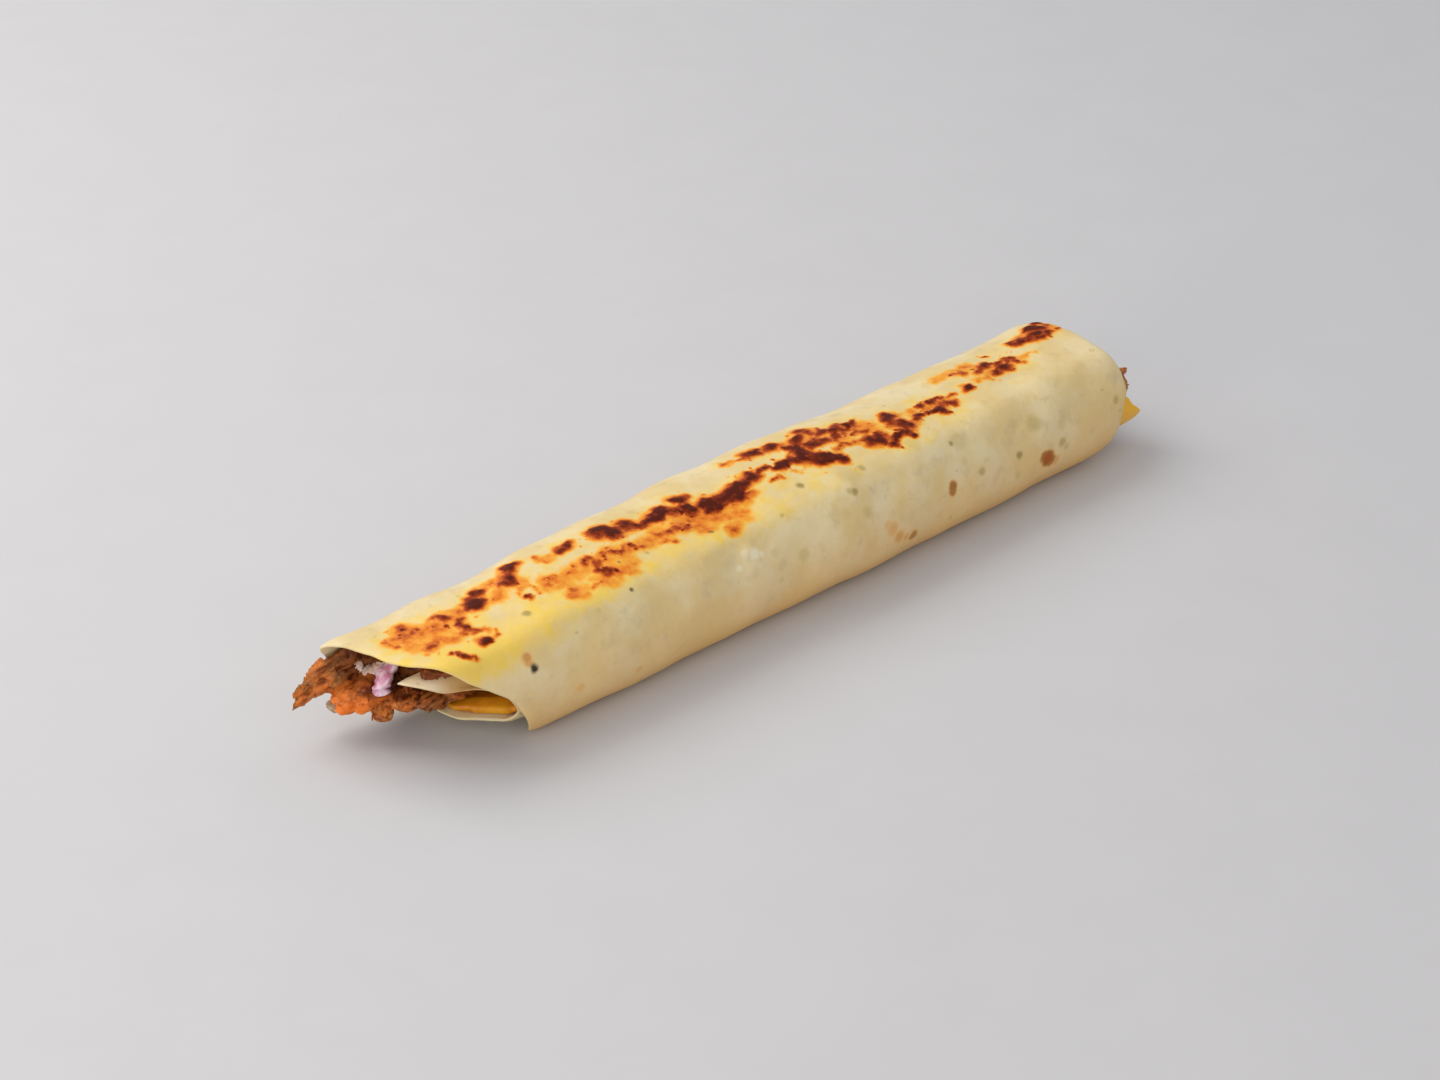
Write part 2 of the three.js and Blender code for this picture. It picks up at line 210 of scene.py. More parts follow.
# Where the hot plate has toasted the bread: from x, angle to x, angle, radius, how dark
griddleMarks = [
    # the wide orange rings round the marks
    (-149, 98, -146, 84, 3.6, 0.42), (-144, 92, -130, 92, 4.8, 0.45), (-140, 84, -134, 80, 3.4, 0.42),
    (-126, 95, -112, 92, 3.0, 0.42), (-109, 104, -106, 94, 3.2, 0.44), (-92, 100, -88, 99, 2.2, 0.38),
    (-97, 82, -70, 83, 3.8, 0.36), (-96, 68, -72, 70, 3.6, 0.34), (-70, 82, -50, 78, 3.6, 0.36),
    (-44, 80, -22, 80, 4.2, 0.4), (-42, 72, -26, 70, 3.6, 0.37), (24, 96, 38, 88, 4.6, 0.40),
    (44, 80, 56, 76, 2.0, 0.34), (58, 84, 74, 84, 2.8, 0.38), (82, 103, 96, 99, 3.2, 0.32),
    (90, 88, 114, 88, 2.2, 0.28), (120, 97, 136, 100, 3.6, 0.38), (-12, 104, -4, 104, 1.8, 0.3),
    # the near end
    (-145.5, 106, -144.5, 97, 2.8, 0.64), (-152.6, 98, -152, 92, 1.4, 0.56),
    (-145.5, 82, -143.5, 77, 2.8, 0.62), (-148, 78, -146, 86, 1.2, 0.42),
    (-133, 99, -132, 95, 2.2, 0.72), (-131, 90, -130, 77, 2.0, 0.8), (-134, 68, -131, 64, 2.5, 0.95),
    (-142.5, 66, -137.5, 54, 1.15, 0.76), (-127, 76, -125, 66, 1.3, 0.4),
    (-121, 93.5, -115.5, 102, 2.9, 1.05), (-105.5, 96, -99.5, 108, 2.6, 0.92),
    (-108.5, 83, -107.5, 80, 1.4, 0.85), (-104, 80, -103, 88, 1.0, 0.5),
    (-109, 88, -104, 90, 0.9, 0.45), (-85, 98, -80, 102, 2.2, 0.85), (-92, 104, -91, 98, 1.3, 0.45),
    (-99, 86, -97, 80, 1.1, 0.5), (-96, 88, -91, 85, 1.1, 0.5), (-83, 87, -80, 82, 1.9, 0.78),
    (-82, 76, -80, 71, 2.0, 0.78), (-76, 85, -70, 83, 1.5, 0.68), (-68, 84, -63, 80, 1.4, 0.62),
    (-97, 66, -93, 72, 2.0, 0.5), (-90, 66, -89, 65, 1.2, 0.45), (-79, 68, -74, 67, 1.6, 0.42),
    # the long dark streak along the top
    (-66.5, 96, -60, 95, 3.3, 1.08), (-57, 92, -48, 91, 2.0, 1.0), (-50, 93, -40, 90, 2.7, 1.05),
    (-38, 96, -35, 94, 2.2, 0.92), (-40, 88, -32, 86, 2.8, 1.05), (-30, 86, -19, 86, 3.2, 1.1),
    (-16, 87, -12, 88, 2.4, 1.0), (-17.5, 79, -16, 78, 1.5, 0.7), (-11, 90, -4, 91, 1.3, 1.0),
    (-3, 88, 10, 88.5, 1.6, 1.0), (-56, 82, -52, 79, 2.0, 0.66), (-50, 80, -46, 76, 2.0, 0.64),
    (-57, 76, -53, 72, 1.4, 0.5), (-44, 82, -40, 81, 1.4, 0.56), (-33.5, 61, -32, 56, 2.7, 0.46),
    (-6, 80.5, -4, 81, 1.5, 0.62), (2, 80, 4, 79, 1.1, 0.44), (-12.5, 107, -7, 104, 1.3, 0.58),
    (-2, 104, 1, 107, 2.6, 0.92), (3, 104, 8, 101, 2.2, 0.98), (10, 98, 15, 95, 2.0, 0.82),
    (16, 102, 21, 103, 2.4, 0.92),
    # the middle and the far end
    (12, 86, 17, 84, 3.6, 1.1), (12, 80, 16, 79, 2.4, 1.05), (17, 78, 21, 72, 2.0, 0.96),
    (10, 92, 20, 91, 1.6, 0.9), (22, 99, 29, 97, 2.2, 0.76), (28, 96, 40, 95, 2.0, 0.94),
    (24, 90, 34, 91, 1.6, 0.78), (22, 84, 30, 82, 1.4, 0.6), (34, 88, 39, 87, 1.6, 0.66),
    (31, 82, 36, 81, 1.3, 0.58), (20, 95, 24, 88, 1.6, 0.66), (35, 75, 39, 74, 3.2, 1.1),
    (36, 80, 38, 79, 1.8, 1.0), (38, 70, 40, 68, 1.6, 0.9), (42, 71, 47, 71.5, 1.6, 1.0),
    (50, 87, 50, 76, 2.6, 1.05), (47.5, 73, 48.5, 66, 1.3, 0.85), (52, 80, 54, 79, 1.6, 0.74),
    (56, 79, 68, 79.5, 1.4, 0.94), (66, 78, 69, 76, 1.8, 0.92), (62, 88, 73, 88, 1.3, 0.9),
    (70, 84, 74, 80, 1.7, 0.82), (74, 86, 80, 86, 0.95, 0.7), (84, 84.5, 85, 84, 1.9, 1.05),
    (88, 97, 90, 95, 1.7, 0.7), (94, 100, 96, 98, 1.5, 0.52), (96, 92, 102, 93, 1.9, 1.05),
    (101, 88, 105, 86, 2.2, 1.08), (104, 91, 111, 91, 1.4, 0.98), (111, 89, 111, 84, 1.1, 0.8),
    (105.5, 108, 106.5, 102, 0.9, 0.52), (91, 85, 95, 84, 1.6, 0.42), (115, 88, 119, 87, 1.2, 0.32),
    (121, 98, 125, 97, 2.6, 0.94), (127, 99, 130, 96, 2.2, 0.84), (131, 104, 135, 101, 3.2, 1.1),
    (136, 112, 137, 104, 1.8, 1.0), (132, 95, 138, 94, 1.5, 0.76), (124, 93, 130, 92, 1.3, 0.62),
    (128, 107, 132, 108, 1.6, 0.74),
]
# The back and the underside, which were griddled too, follow a rule
otherMarks = {
    "count": 46,
    "seed": 8,
    "x": (-140, 132),
    "angles": (150, 232),
    "radius": (1.1, 3.2),
    "darkness": (0.25, 0.8),
    "length": (0, 7),
    "turn": (-5, 5),
}
# how the blots of a mark are scattered and vary, how sharp they are, and how far they glow, in mm
blotting = {"scatter": 0.34, "sizes": (0.78, 1.25), "tones": (0.72, 1.04), "edge": 2.6, "glow": 4.2}

# x, angle, radius and strength of the small spots: charred, painted highlights on the pucker, tan to
# red-brown, and olive
charred = [
    (-121.4, 26.5, 1.5, 1.0), (-79, 50.5, 0.9, 0.8), (-40, 65.5, 0.9, 0.62), (-75, 75, 0.7, 0.6),
]
paleFlecks = [(-31.3, 33, 1.9, 0.6), (-29.2, 30, 1.2, 0.45), (-38.5, 27, 1.5, 0.4), (-34.5, 37, 1.3, 0.35)]
tanSpots = [
    (-122.4, 37.5, 1.9, 0.42), (-122.6, 33.5, 1.7, 0.36), (-82.6, -13, 1.4, 0.26),
    (24.5, 1.5, 3.0, 0.30), (27.5, -5, 2.6, 0.36), (22.5, 6, 2.0, 0.24), (34.8, -11.5, 2.3, 0.58),
    (31, -9, 1.8, 0.32), (53.3, 10.5, 2.1, 0.66), (53, 6.5, 2.0, 0.62), (99.3, -3, 3.1, 1.0),
    (97.6, -1, 2.6, 0.7), (101, -6, 2.6, 0.7), (103.5, -9, 2.2, 0.34), (-106, -4, 1.7, 0.26),
]
oliveSpots = [
    (-113.4, 69.7, 1.6, 0.45), (-93.5, 47, 1.0, 0.16), (-64.3, 73.3, 1.1, 0.34), (-52, 105, 1.8, 0.14),
    (-23, 1, 1.3, 0.2), (-13, 13, 2.3, 0.2), (-24, 26, 1.6, 0.14), (-1.4, 68.6, 1.6, 0.5),
    (13, 45.5, 1.6, 0.46), (11.4, 47.6, 1.2, 0.3), (22, 60.6, 1.4, 0.34), (14.5, 25, 2.0, 0.2),
    (15, 63, 4.5, 0.14), (58.7, 46, 1.2, 0.48), (62.5, 45, 3.6, 0.2), (67, 11.3, 1.7, 0.36),
    (85.5, 8.7, 1.6, 0.5), (95, 30, 3.2, 0.26), (87, 37, 2.2, 0.14), (107, 17.5, 2.4, 0.16),
    (106.6, 2.5, 1.9, 0.34), (108.6, -1, 1.4, 0.26), (134, 14.4, 1.6, 0.36), (84.7, -5, 1.5, 0.2),
    (45, 60, 3.0, 0.14), (111, 55, 3.2, 0.1), (6, 31, 2.0, 0.1),
]


def arcLength(angle):  # millimetres along the skin, from angle 0
    fine = np.linspace(-140, 450, 1181)
    points = rollPoint(np.zeros_like(fine), fine, np.zeros_like(fine))
    total = np.concatenate([[0], np.cumsum(np.linalg.norm(np.diff(points, axis=0), axis=1))])
    return np.interp(angle, fine, total) - np.interp(0, fine, total)


def onSkin(x, angle):  # the place on the sheet laid out flat
    return np.stack([x, arcLength(angle), 0 * x], -1)


def blotsOf(marks, draw):  # each mark is a row of uneven round blots
    blots = []
    for x0, a0, x1, a1, radius, darkness in marks:
        s0, s1 = arcLength(a0), arcLength(a1)
        count = 1 + round(math.hypot(x1 - x0, s1 - s0) / radius)
        for t in np.linspace(0, 1, count) if count > 1 else [0.5]:
            aside = draw.normal(size=2) * radius * blotting["scatter"]
            size = radius * draw.uniform(*blotting["sizes"])
            tone = darkness * draw.uniform(*blotting["tones"])
            blots.append((x0 + t * (x1 - x0) + aside[0], s0 + t * (s1 - s0) + aside[1], size, tone))
    return blots


def griddled(x, angle):  # how toasted each point is, and how near it lies to something toasted
    draw = np.random.default_rng(otherMarks["seed"])
    marks = list(griddleMarks)
    for _ in range(otherMarks["count"]):
        keys = ("x", "angles", "length", "turn", "radius", "darkness")
        startX, startAngle, length, turn, radius, darkness = (draw.uniform(*otherMarks[key]) for key in keys)
        marks.append((startX, startAngle, startX + length, startAngle + turn, radius, darkness))
    place = onSkin(x, angle)
    along = place[..., 1]
    warpedX = x + 1.3 * smoothNoise(place, 3.6, 4) + 0.5 * smoothNoise(place, 1.7, 6)
    warpedAlong = along + 1.3 * smoothNoise(place, 3.6, 5) + 0.5 * smoothNoise(place, 1.7, 7)
    toast, halo = np.zeros_like(x), np.zeros_like(x)
    for blotX, blotAlong, size, tone in blotsOf(marks, draw):
        away = np.hypot(warpedX - blotX, warpedAlong - blotAlong)
        spot = tone * np.exp(-0.75 * (away / size) ** blotting["edge"])
        both = np.minimum(toast, spot)
        toast = np.maximum(toast, spot) + 0.25 * both * (both > 0.45)  # darker where two blots meet
        glow = np.exp(-((away / (size + blotting["glow"])) ** 2))
        halo = np.maximum(halo, min(1, tone * 1.3) * glow)
    return np.clip(toast, 0, 1.1), halo * ramp(angle, 36, 60) * ramp(angle, 122, 106)


def linked(name, data):
    obj = bpy.data.objects.new(name, data)
    bpy.context.collection.objects.link(obj)
    return obj


def newObject(name, vertices, faces, material, attributes=None):
    mesh = bpy.data.meshes.new(name)
    mesh.from_pydata(np.asarray(vertices).tolist(), [], [list(map(int, f)) for f in faces])
    mesh.polygons.foreach_set("use_smooth", [True] * len(mesh.polygons))
    if material:
        mesh.materials.append(material)
    for key, values in (attributes or {}).items():
        values = np.asarray(values, float)
        kind = "FLOAT" if values.ndim == 1 else "FLOAT_VECTOR"
        layer = mesh.attributes.new(key, kind, "POINT")
        layer.data.foreach_set("value" if values.ndim == 1 else "vector", values.ravel().tolist())
    return linked(name, mesh)


def closedObject(name, vertices, faces, material, attributes=None):  # its faces all turned outwards
    obj = newObject(name, vertices, faces, material, attributes)
    build = bmesh.new()
    build.from_mesh(obj.data)
    bmesh.ops.recalc_face_normals(build, faces=build.faces)
    build.to_mesh(obj.data)
    build.free()
    return obj


def gridFaces(rows, columns):  # the faces of a grid of points, and the points round its border
    index = np.arange(rows * columns).reshape(rows, columns)
    a, b, c, d = index[:-1, :-1], index[1:, :-1], index[1:, 1:], index[:-1, 1:]
    border = np.concatenate([index[0, :-1], index[:-1, -1], index[-1, :0:-1], index[:0:-1, 0]])
    return np.stack([a, b, c, d], -1).reshape(-1, 4), border


def skinOf(mesh):  # the places and the normals of its points
    found = []
    for key in ("co", "normal"):
        values = np.empty(len(mesh.vertices) * 3)
        mesh.vertices.foreach_get(key, values)
        found.append(values.reshape(-1, 3))
    return found


def inFrame(points):  # millimetres of the roll to metres of the frame
    return (np.asarray(points, float) + frameShift) / 1000


def fillInputs(tree, node, inputs):  # each takes a value, or another node's output
    for key, value in inputs.items():
        if isinstance(value, bpy.types.NodeSocket):
            tree.links.new(value, node.inputs[key])
        else:
            node.inputs[key].default_value = value


def addNode(tree, kind, inputs, **settings):
    node = tree.nodes.new(kind)
    for key, value in settings.items():
        setattr(node, key, value)
    fillInputs(tree, node, inputs)
    return node


class Finish:  # a node material under construction; sizes are in millimetres
    def __init__(self, name):
        self.material = bpy.data.materials.new(name)
        self.material.use_nodes = True
        self.tree = self.material.node_tree
        self.place = self.add("ShaderNodeTexCoord", "Object")

    def add(self, kind, output, inputs=None, **settings):
        return addNode(self.tree, kind, inputs or {}, **settings).outputs[output]

    def set(self, **values):
        named = {key.replace("_", " "): value for key, value in values.items()}
        fillInputs(self.tree, self.tree.nodes["Principled BSDF"], named)

    def attribute(self, name, output="Fac"):
        return self.add("ShaderNodeAttribute", output, attribute_name=name)

    def scaled(self, size, place=None, stretch=(1, 1, 1)):
        scale = tuple(1000 / size * share for share in stretch)
        return self.add("ShaderNodeMapping", "Vector", {"Vector": place or self.place, "Scale": scale})

    def noise(self, size, detail=4, roughness=0.55, place=None, stretch=(1, 1, 1)):
        inputs = {"Vector": self.scaled(size, place, stretch), "Scale": 1, "Detail": detail}
        return self.add("ShaderNodeTexNoise", "Fac", {**inputs, "Roughness": roughness})

    def cells(self, size):  # from 0 at the middle of a cell
        return self.add("ShaderNodeTexVoronoi", "Distance", {"Vector": self.scaled(size), "Scale": 1})

    def shifted(self, size, amount):  # the place, shifted by noise
        noise = self.add("ShaderNodeTexNoise", "Color", {"Vector": self.scaled(size), "Scale": 1})
        inputs = {0: noise, 1: (amount / 1000,) * 3, 2: self.place}
        return self.add("ShaderNodeVectorMath", 0, inputs, operation="MULTIPLY_ADD")

    def distance(self, place, point):
        return self.add("ShaderNodeVectorMath", "Value", {0: place, 1: tuple(point)}, operation="DISTANCE")

    def math(self, operation, a, b, clamp=False):
        return self.add("ShaderNodeMath", 0, {0: a, 1: b}, operation=operation, use_clamp=clamp)

    def times(self, a, b, clamp=False):
        return self.math("MULTIPLY", a, b, clamp)

    def plus(self, a, b, clamp=False):
        return self.math("ADD", a, b, clamp)

    def spread(self, value, low, high, start=0.0, end=1.0):
        inputs = {"Value": value, "From Min": low, "From Max": high, "To Min": start, "To Max": end}
        return self.add("ShaderNodeMapRange", "Result", inputs, interpolation_type="SMOOTHSTEP")

    def colours(self, value, stops):
        node = addNode(self.tree, "ShaderNodeValToRGB", {"Fac": value})
        band = node.color_ramp
        while len(band.elements) < len(stops):
            band.elements.new(0.5)
        for element, (position, colour) in zip(band.elements, stops):
            element.position = position
            element.color = (*colour, 1)
        return node.outputs["Color"]

    def mix(self, share, a, b):
        a, b = ((*colour, 1) if isinstance(colour, tuple) else colour for colour in (a, b))
        return self.add("ShaderNodeMix", "Result", {"Factor": share, "A": a, "B": b}, data_type="RGBA")

    def bump(self, height, strength, distance, after=None):
        inputs = {"Height": height, "Strength": strength, "Distance": distance / 1000}
        if after:
            inputs["Normal"] = after
        return self.add("ShaderNodeBump", "Normal", inputs)

    def finish(self, colour, roughness, normal=None):
        self.set(Base_Color=colour, Roughness=roughness)
        if normal:
            self.set(Normal=normal)
        return self.material


breadLook = {
    "cream": (0.76, 0.575, 0.265),
    "pale": (0.81, 0.67, 0.40),
    "floury": (0.60, 0.475, 0.275),
    "butter": (0.90, 0.62, 0.115),
    # partly painted light: a warm tint standing in for warm bounced light and shade, partly the bread's own
    # browner underside
    "warm": (0.80, 0.48, 0.17),
    "tan": [
        (0.0, (0.86, 0.54, 0.20)),
        (0.3, (0.76, 0.40, 0.12)),
        (0.65, (0.40, 0.18, 0.04)),
        (1.0, (0.43, 0.10, 0.008)),
    ],
    "olive": [(0.0, (0.56, 0.43, 0.15)), (0.5, (0.36, 0.25, 0.065)), (1.0, (0.20, 0.12, 0.04))],
    "char": (0.045, 0.026, 0.012),
    # painted light: the flap at the loose end is made paler and brighter, standing in for the light that
    # falls on it
    "flap": (1.0, 0.80, 0.54),
    # painted highlight colour for the pucker on the front
    "puckerHighlight": (0.97, 0.90, 0.66),
    "toast": [
        (0.0, (0.92, 0.62, 0.18)),
        (0.18, (0.93, 0.43, 0.035)),
        (0.36, (0.80, 0.21, 0.011)),
        (0.54, (0.42, 0.064, 0.008)),
        (0.78, (0.19, 0.022, 0.004)),
        (1.0, (0.085, 0.011, 0.004)),
    ],
    "dotWarp": (2.6, 1.3),  # size and amount, in mm, of the waves in the outline of the dots
    "tornCoarse": 1.45,  # how much the marks break up
    "tornFine": 0.2,
}


def spotsOn(look, spots):  # how dark each point of the skin is there
    place = look.shifted(*breadLook["dotWarp"])
    drift = breadLook["dotWarp"][1] / 2000
    darkest = 0.0
    for x, angle, radius, darkness in spots:
        point = inFrame(rollPoint(np.array(x), np.array(angle), np.array(0.0))) + drift
        away = look.distance(place, point)
        spot = look.spread(away, radius * 0.0014, radius * 0.0004, 0, darkness)
        darkest = look.math("MAXIMUM", spot, darkest)
    return darkest


def griddledBread():
    look = Finish("griddledBread")
    toast, halo = look.attribute("toast"), look.attribute("halo")
    patch = look.noise(17, 3)
    mottle = look.noise(5.5, 4, 0.55)
    blotch = look.noise(2.6, 3, 0.5)
    grain = look.noise(1.1, 3, 0.6)
    base = look.mix(look.spread(patch, 0.36, 0.64), breadLook["cream"], breadLook["pale"])
    base = look.mix(look.spread(mottle, 0.5, 0.74, 0, 0.55), base, breadLook["floury"])
    # partly painted light: warmer on the lower front and inside the loose mouth, standing in for bounced
    # light and shade there; partly real browning
    base = look.mix(look.times(look.attribute("warm"), 0.9), base, breadLook["warm"])
    # painted light: the flap at the loose end is made brighter, standing in for light on it
    base = look.mix(look.attribute("flap"), base, breadLook["flap"])
    # the butter is streaky where it is thin
    buttery = look.plus(look.attribute("butter"), look.times(halo, 0.6))
    streaks = look.spread(mottle, 0.3, 0.7, -0.3, 0.3)
    streaks = look.plus(streaks, look.spread(patch, 0.36, 0.64, -0.22, 0.22))
    buttery = look.plus(buttery, look.times(streaks, look.spread(buttery, 0, 0.3)), True)
    base = look.mix(buttery, base, breadLook["butter"])
    # freckles: a few cells of a fine pattern, and the small spots
    freckles = look.times(look.spread(look.cells(9), 0.15, 0.07, 0, 0.25), look.spread(blotch, 0.52, 0.6))
    freckles = look.math("MAXIMUM", freckles, spotsOn(look, oliveSpots))
    base = look.mix(look.times(freckles, 1.8, True), base, look.colours(freckles, breadLook["olive"]))
    browned = spotsOn(look, tanSpots)
    base = look.mix(look.times(browned, 2.6, True), base, look.colours(browned, breadLook["tan"]))
    # painted highlights: pale spots on the pucker, standing in for light catching it
    base = look.mix(spotsOn(look, paleFlecks), base, breadLook["puckerHighlight"])
    # the marks break up into blotches, with small spots scattered round them
    coarse = look.times(look.math("SUBTRACT", blotch, 0.5), breadLook["tornCoarse"])
    fine = look.times(look.math("SUBTRACT", grain, 0.5), breadLook["tornFine"])
    torn = look.times(look.plus(coarse, fine), look.times(toast, 1.05))
    spots = look.times(look.spread(look.cells(3.6), 0.34, 0.12), look.spread(halo, 0.2, 0.9, 0, 0.5))
    spots = look.times(spots, look.spread(blotch, 0.48, 0.6))
    toasted = look.plus(look.plus(toast, torn), spots, True)
    colour = look.mix(look.spread(toasted, 0.03, 0.2), base, look.colours(toasted, breadLook["toast"]))
    colour = look.mix(spotsOn(look, charred), colour, breadLook["char"])
    skin = look.bump(mottle, 0.3, 0.8)
    skin = look.bump(blotch, 0.3, 0.4, skin)
    crust = look.bump(look.times(grain, look.spread(toasted, 0, 0.6, 0.3, 1)), 0.5, 0.35, skin)
    look.set(Subsurface_Weight=0.12, Subsurface_Radius=(0.0035, 0.0022, 0.0010), Subsurface_Scale=1.0)
    look.set(Specular_IOR_Level=look.spread(toasted, 0.1, 0.7, 0.33, 0.06))
    return look.finish(colour, look.spread(buttery, 0, 1, 0.62, 0.4), crust)


cheeseLook = {
    "deep": (0.72, 0.25, 0.010),
    "light": (0.90, 0.41, 0.016),
    "tongue": (0.98, 0.50, 0.022),
    "roughness": 0.36,
}


def cheeseFinish():
    look = Finish("meltedCheese")
    cloud = look.noise(9, 3)
    colour = look.mix(look.spread(cloud, 0.3, 0.7), cheeseLook["deep"], cheeseLook["light"])
    colour = look.mix(look.attribute("tongue"), colour, cheeseLook["tongue"])
    normal = look.bump(look.noise(2.2, 3), 0.25, 0.4)
    look.set(Subsurface_Weight=0.25, Subsurface_Radius=(0.006, 0.003, 0.001), Subsurface_Scale=1.0)
    look.set(Specular_IOR_Level=0.3, Coat_Weight=0.06, Coat_Roughness=0.2)
    return look.finish(colour, cheeseLook["roughness"], normal)


chickenLook = {
    "tan": (0.47, 0.17, 0.034),
    # light: the meat's own paler tone per piece, and also the painted highlight on the raised fibres
    "light": (0.80, 0.40, 0.12),
    "brown": (0.25, 0.060, 0.009),
    "sauce": (0.86, 0.21, 0.025),
    # painted highlight colour for the saucy meat
    "paintedHighlight": (0.94, 0.48, 0.22),
    # painted shade colour, for the grooves and the shaded places of the meat
    "paintedShadeColour": (0.12, 0.022, 0.004),
}


def chickenFinish():
    look = Finish("pulledChicken")
    grainPlace = look.attribute("grain", "Vector")
    sauce, tone = look.attribute("sauce"), look.attribute("tone")
    fibres = look.noise(0.9, 4, 0.6, grainPlace, (0.12, 1, 1))
    bundles = look.noise(2.6, 3, 0.5, grainPlace, (0.16, 1, 1))
    patch = look.noise(4.5, 4, 0.6)
    meat = look.mix(look.spread(bundles, 0.34, 0.62), chickenLook["brown"], chickenLook["tan"])
    meat = look.mix(look.times(tone, 0.25), meat, chickenLook["light"])
    # painted highlight: the raised fibres are made lighter, standing in for light catching them
    meat = look.mix(look.spread(fibres, 0.5, 0.72, 0, 0.6), meat, chickenLook["light"])
    saucy = look.plus(sauce, look.spread(patch, 0.3, 0.7, -0.35, 0.35), True)
    meat = look.mix(saucy, meat, chickenLook["sauce"])
    # painted highlight: on the saucy meat the highest fibres are paler still, standing in for glints on the
    # sauce
    pale = look.times(look.spread(fibres, 0.56, 0.7), look.spread(saucy, 0.3, 0.9, 0, 0.4))
    meat = look.mix(pale, meat, chickenLook["paintedHighlight"])
    # painted shade: darkened in the grooves, in the core, inside the loose mouth, under the flap and on the
    # scraps
    meat = look.mix(look.times(look.attribute("sunk"), 0.8, True), meat, chickenLook["paintedShadeColour"])
    normal = look.bump(bundles, 0.6, 0.8)
    normal = look.bump(fibres, 0.5, 0.4, normal)
    look.set(Subsurface_Weight=0.15, Subsurface_Radius=(0.004, 0.0016, 0.0007), Subsurface_Scale=1.0)
    look.set(Specular_IOR_Level=0.2, Coat_Weight=0.14, Coat_Roughness=0.15)
    return look.finish(meat, look.spread(patch, 0.3, 0.7, 0.4, 0.62), normal)


plainLooks = {  # dark and light colour, size of the clouds, roughness, subsurface
    "redOnion": ((0.70, 0.25, 0.42), (0.96, 0.70, 0.80), 2.2, 0.25, 0.35),
    "pickle": ((0.24, 0.13, 0.055), (0.58, 0.42, 0.24), 1.6, 0.35, 0.2),
    "garlicSauce": ((0.82, 0.52, 0.43), (0.93, 0.79, 0.69), 3.0, 0.3, 0.2),
}


def plainFood(name):  # one cloudy, wet colour
    dark, light, size, roughness, subsurface = plainLooks[name]
    look = Finish(name)
    colour = look.mix(look.spread(look.noise(size, 4), 0.34, 0.66), dark, light)
    normal = look.bump(look.noise(size / 2, 3), 0.3, 0.3)
    look.set(Subsurface_Weight=subsurface, Subsurface_Radius=(0.004, 0.003, 0.003), Subsurface_Scale=1.0)
    look.set(Coat_Weight=0.4, Coat_Roughness=0.15)
    return look.finish(colour, roughness, normal)


def sheetLines():  # the angles of the mesh's lines, closest where the marks are
    lines = [np.linspace(a, b, round((b - a) / step), endpoint=False) for a, b, step in sheet["steps"]]
    return np.append(np.concatenate(lines), sheet["end"])


def sheetGrid(face, relief=0, ragged=sheet["rimRagged"]):  # face 0 is the outer skin, 1 the inner
    angles = sheetLines()
    t = np.linspace(0, 1, sheet["stations"])
    share = t - 0.3 * np.sin(2 * np.pi * t) / (2 * np.pi)
    angle, share = np.meshgrid(angles, share, indexing="ij")
    uneven = ragged * smoothNoise(np.stack([arcLength(angle), 0 * angle, 0 * angle], -1), 3.4, 2)
    x = looseRim(angle) + uneven + share * (tightRim(angle) - looseRim(angle) - 2 * uneven)
    thin = 1 - 0.5 * (hump(share, 0, 0.006) + hump(share, 1, 0.006))
    depth = breadDepth(x, angle) + sheet["thickness"] * (0.5 + (face - 0.5) * thin)
    return x, angle, rollPoint(x, angle, depth - relief)


# x, angle, radius and depth of the puckers that show on the front
puckers = [
    (-33, 37, 2.6, -0.7), (-29, 40, 2.0, 0.5), (-25.5, 35, 1.8, 0.45), (-42.5, 38, 2.4, -0.35),
    (-38, 34, 2.6, 0.35), (-40, 22, 9, 0.5), (-70, 22, 8, 0.4), (-20, 12, 10, 0.4), (28, 38, 7, 0.4),
    (60, 20, 9, 0.5), (96, 40, 6, 0.5), (110, 12, 8, 0.4), (-104, 12, 7, 0.5), (44, -8, 8, 0.4),
]


def breadRelief(x, angle, toast):  # how far the skin stands out, in mm
    place = onSkin(x, angle)
    along = place[..., 1]
    dents = 0.6 * smoothNoise(place, 9, 1) + 0.4 * smoothNoise(place * [0.6, 1, 1], 4.2, 3)
    wrinkles = np.maximum(0, smoothNoise(place * [0.35, 1, 1], 6, 5)) ** 2
    free = 1 - hump(turnBetween(-90, angle), 0, 50)  # the underside stays flat
    hidden = ramp(angle, 236, 262) * ramp(x, -110, -80) * ramp(x, 128, 112)
    raised = sheet["dents"] * (dents + 0.8 * wrinkles) + sheet["blisters"] * toast * ramp(toast, 0.2, 0.9)
    for puckerX, puckerAngle, radius, depth in puckers:
        away = np.hypot(x - puckerX, (along - arcLength(puckerAngle)) * 1.3)
        raised = raised - depth * np.exp(-((away / radius) ** 2))
    return free * (1 - hidden) * raised


def breadValues(x, angle, toast, halo):  # what the colours depend on, at each point of the skin
    near = ramp(x, -92, -126)
    butter = 0.08 + 0.45 * ramp(x, 30, -40) + 0.32 * ramp(x, -60, -110)
    butter = hump(angle, 62 - 9 * near, 16 + 5 * near) * butter
    butter = butter + 0.3 * ramp(x, -90, -150) * ramp(angle, 120, 90)
    butter = butter * ramp(angle, 26 - 4 * near, 56 - 8 * near) * ramp(angle, 140, 105)
    inMouth = ramp(angle, 330, 380)
    # partly painted light: warmer on the lower front, low at the back and inside the loose mouth, standing
    # in for warm bounced light and the mouth's shade; partly the bread's own browner underside
    warm = hump(angle, -38, 40) * (angle < 150) + 0.5 * hump(angle, 215, 30)
    warm = warm + inMouth * ramp(x, -112, -130)
    values = {"toast": toast, "halo": halo, "butter": np.clip(butter, 0, 1), "warm": np.clip(warm, 0, 1)}
    # painted light: where the flap is made brighter, standing in for the light on it
    values["flap"] = inMouth * ramp(x, -139, -149)
    return {key: value.ravel() for key, value in values.items()}


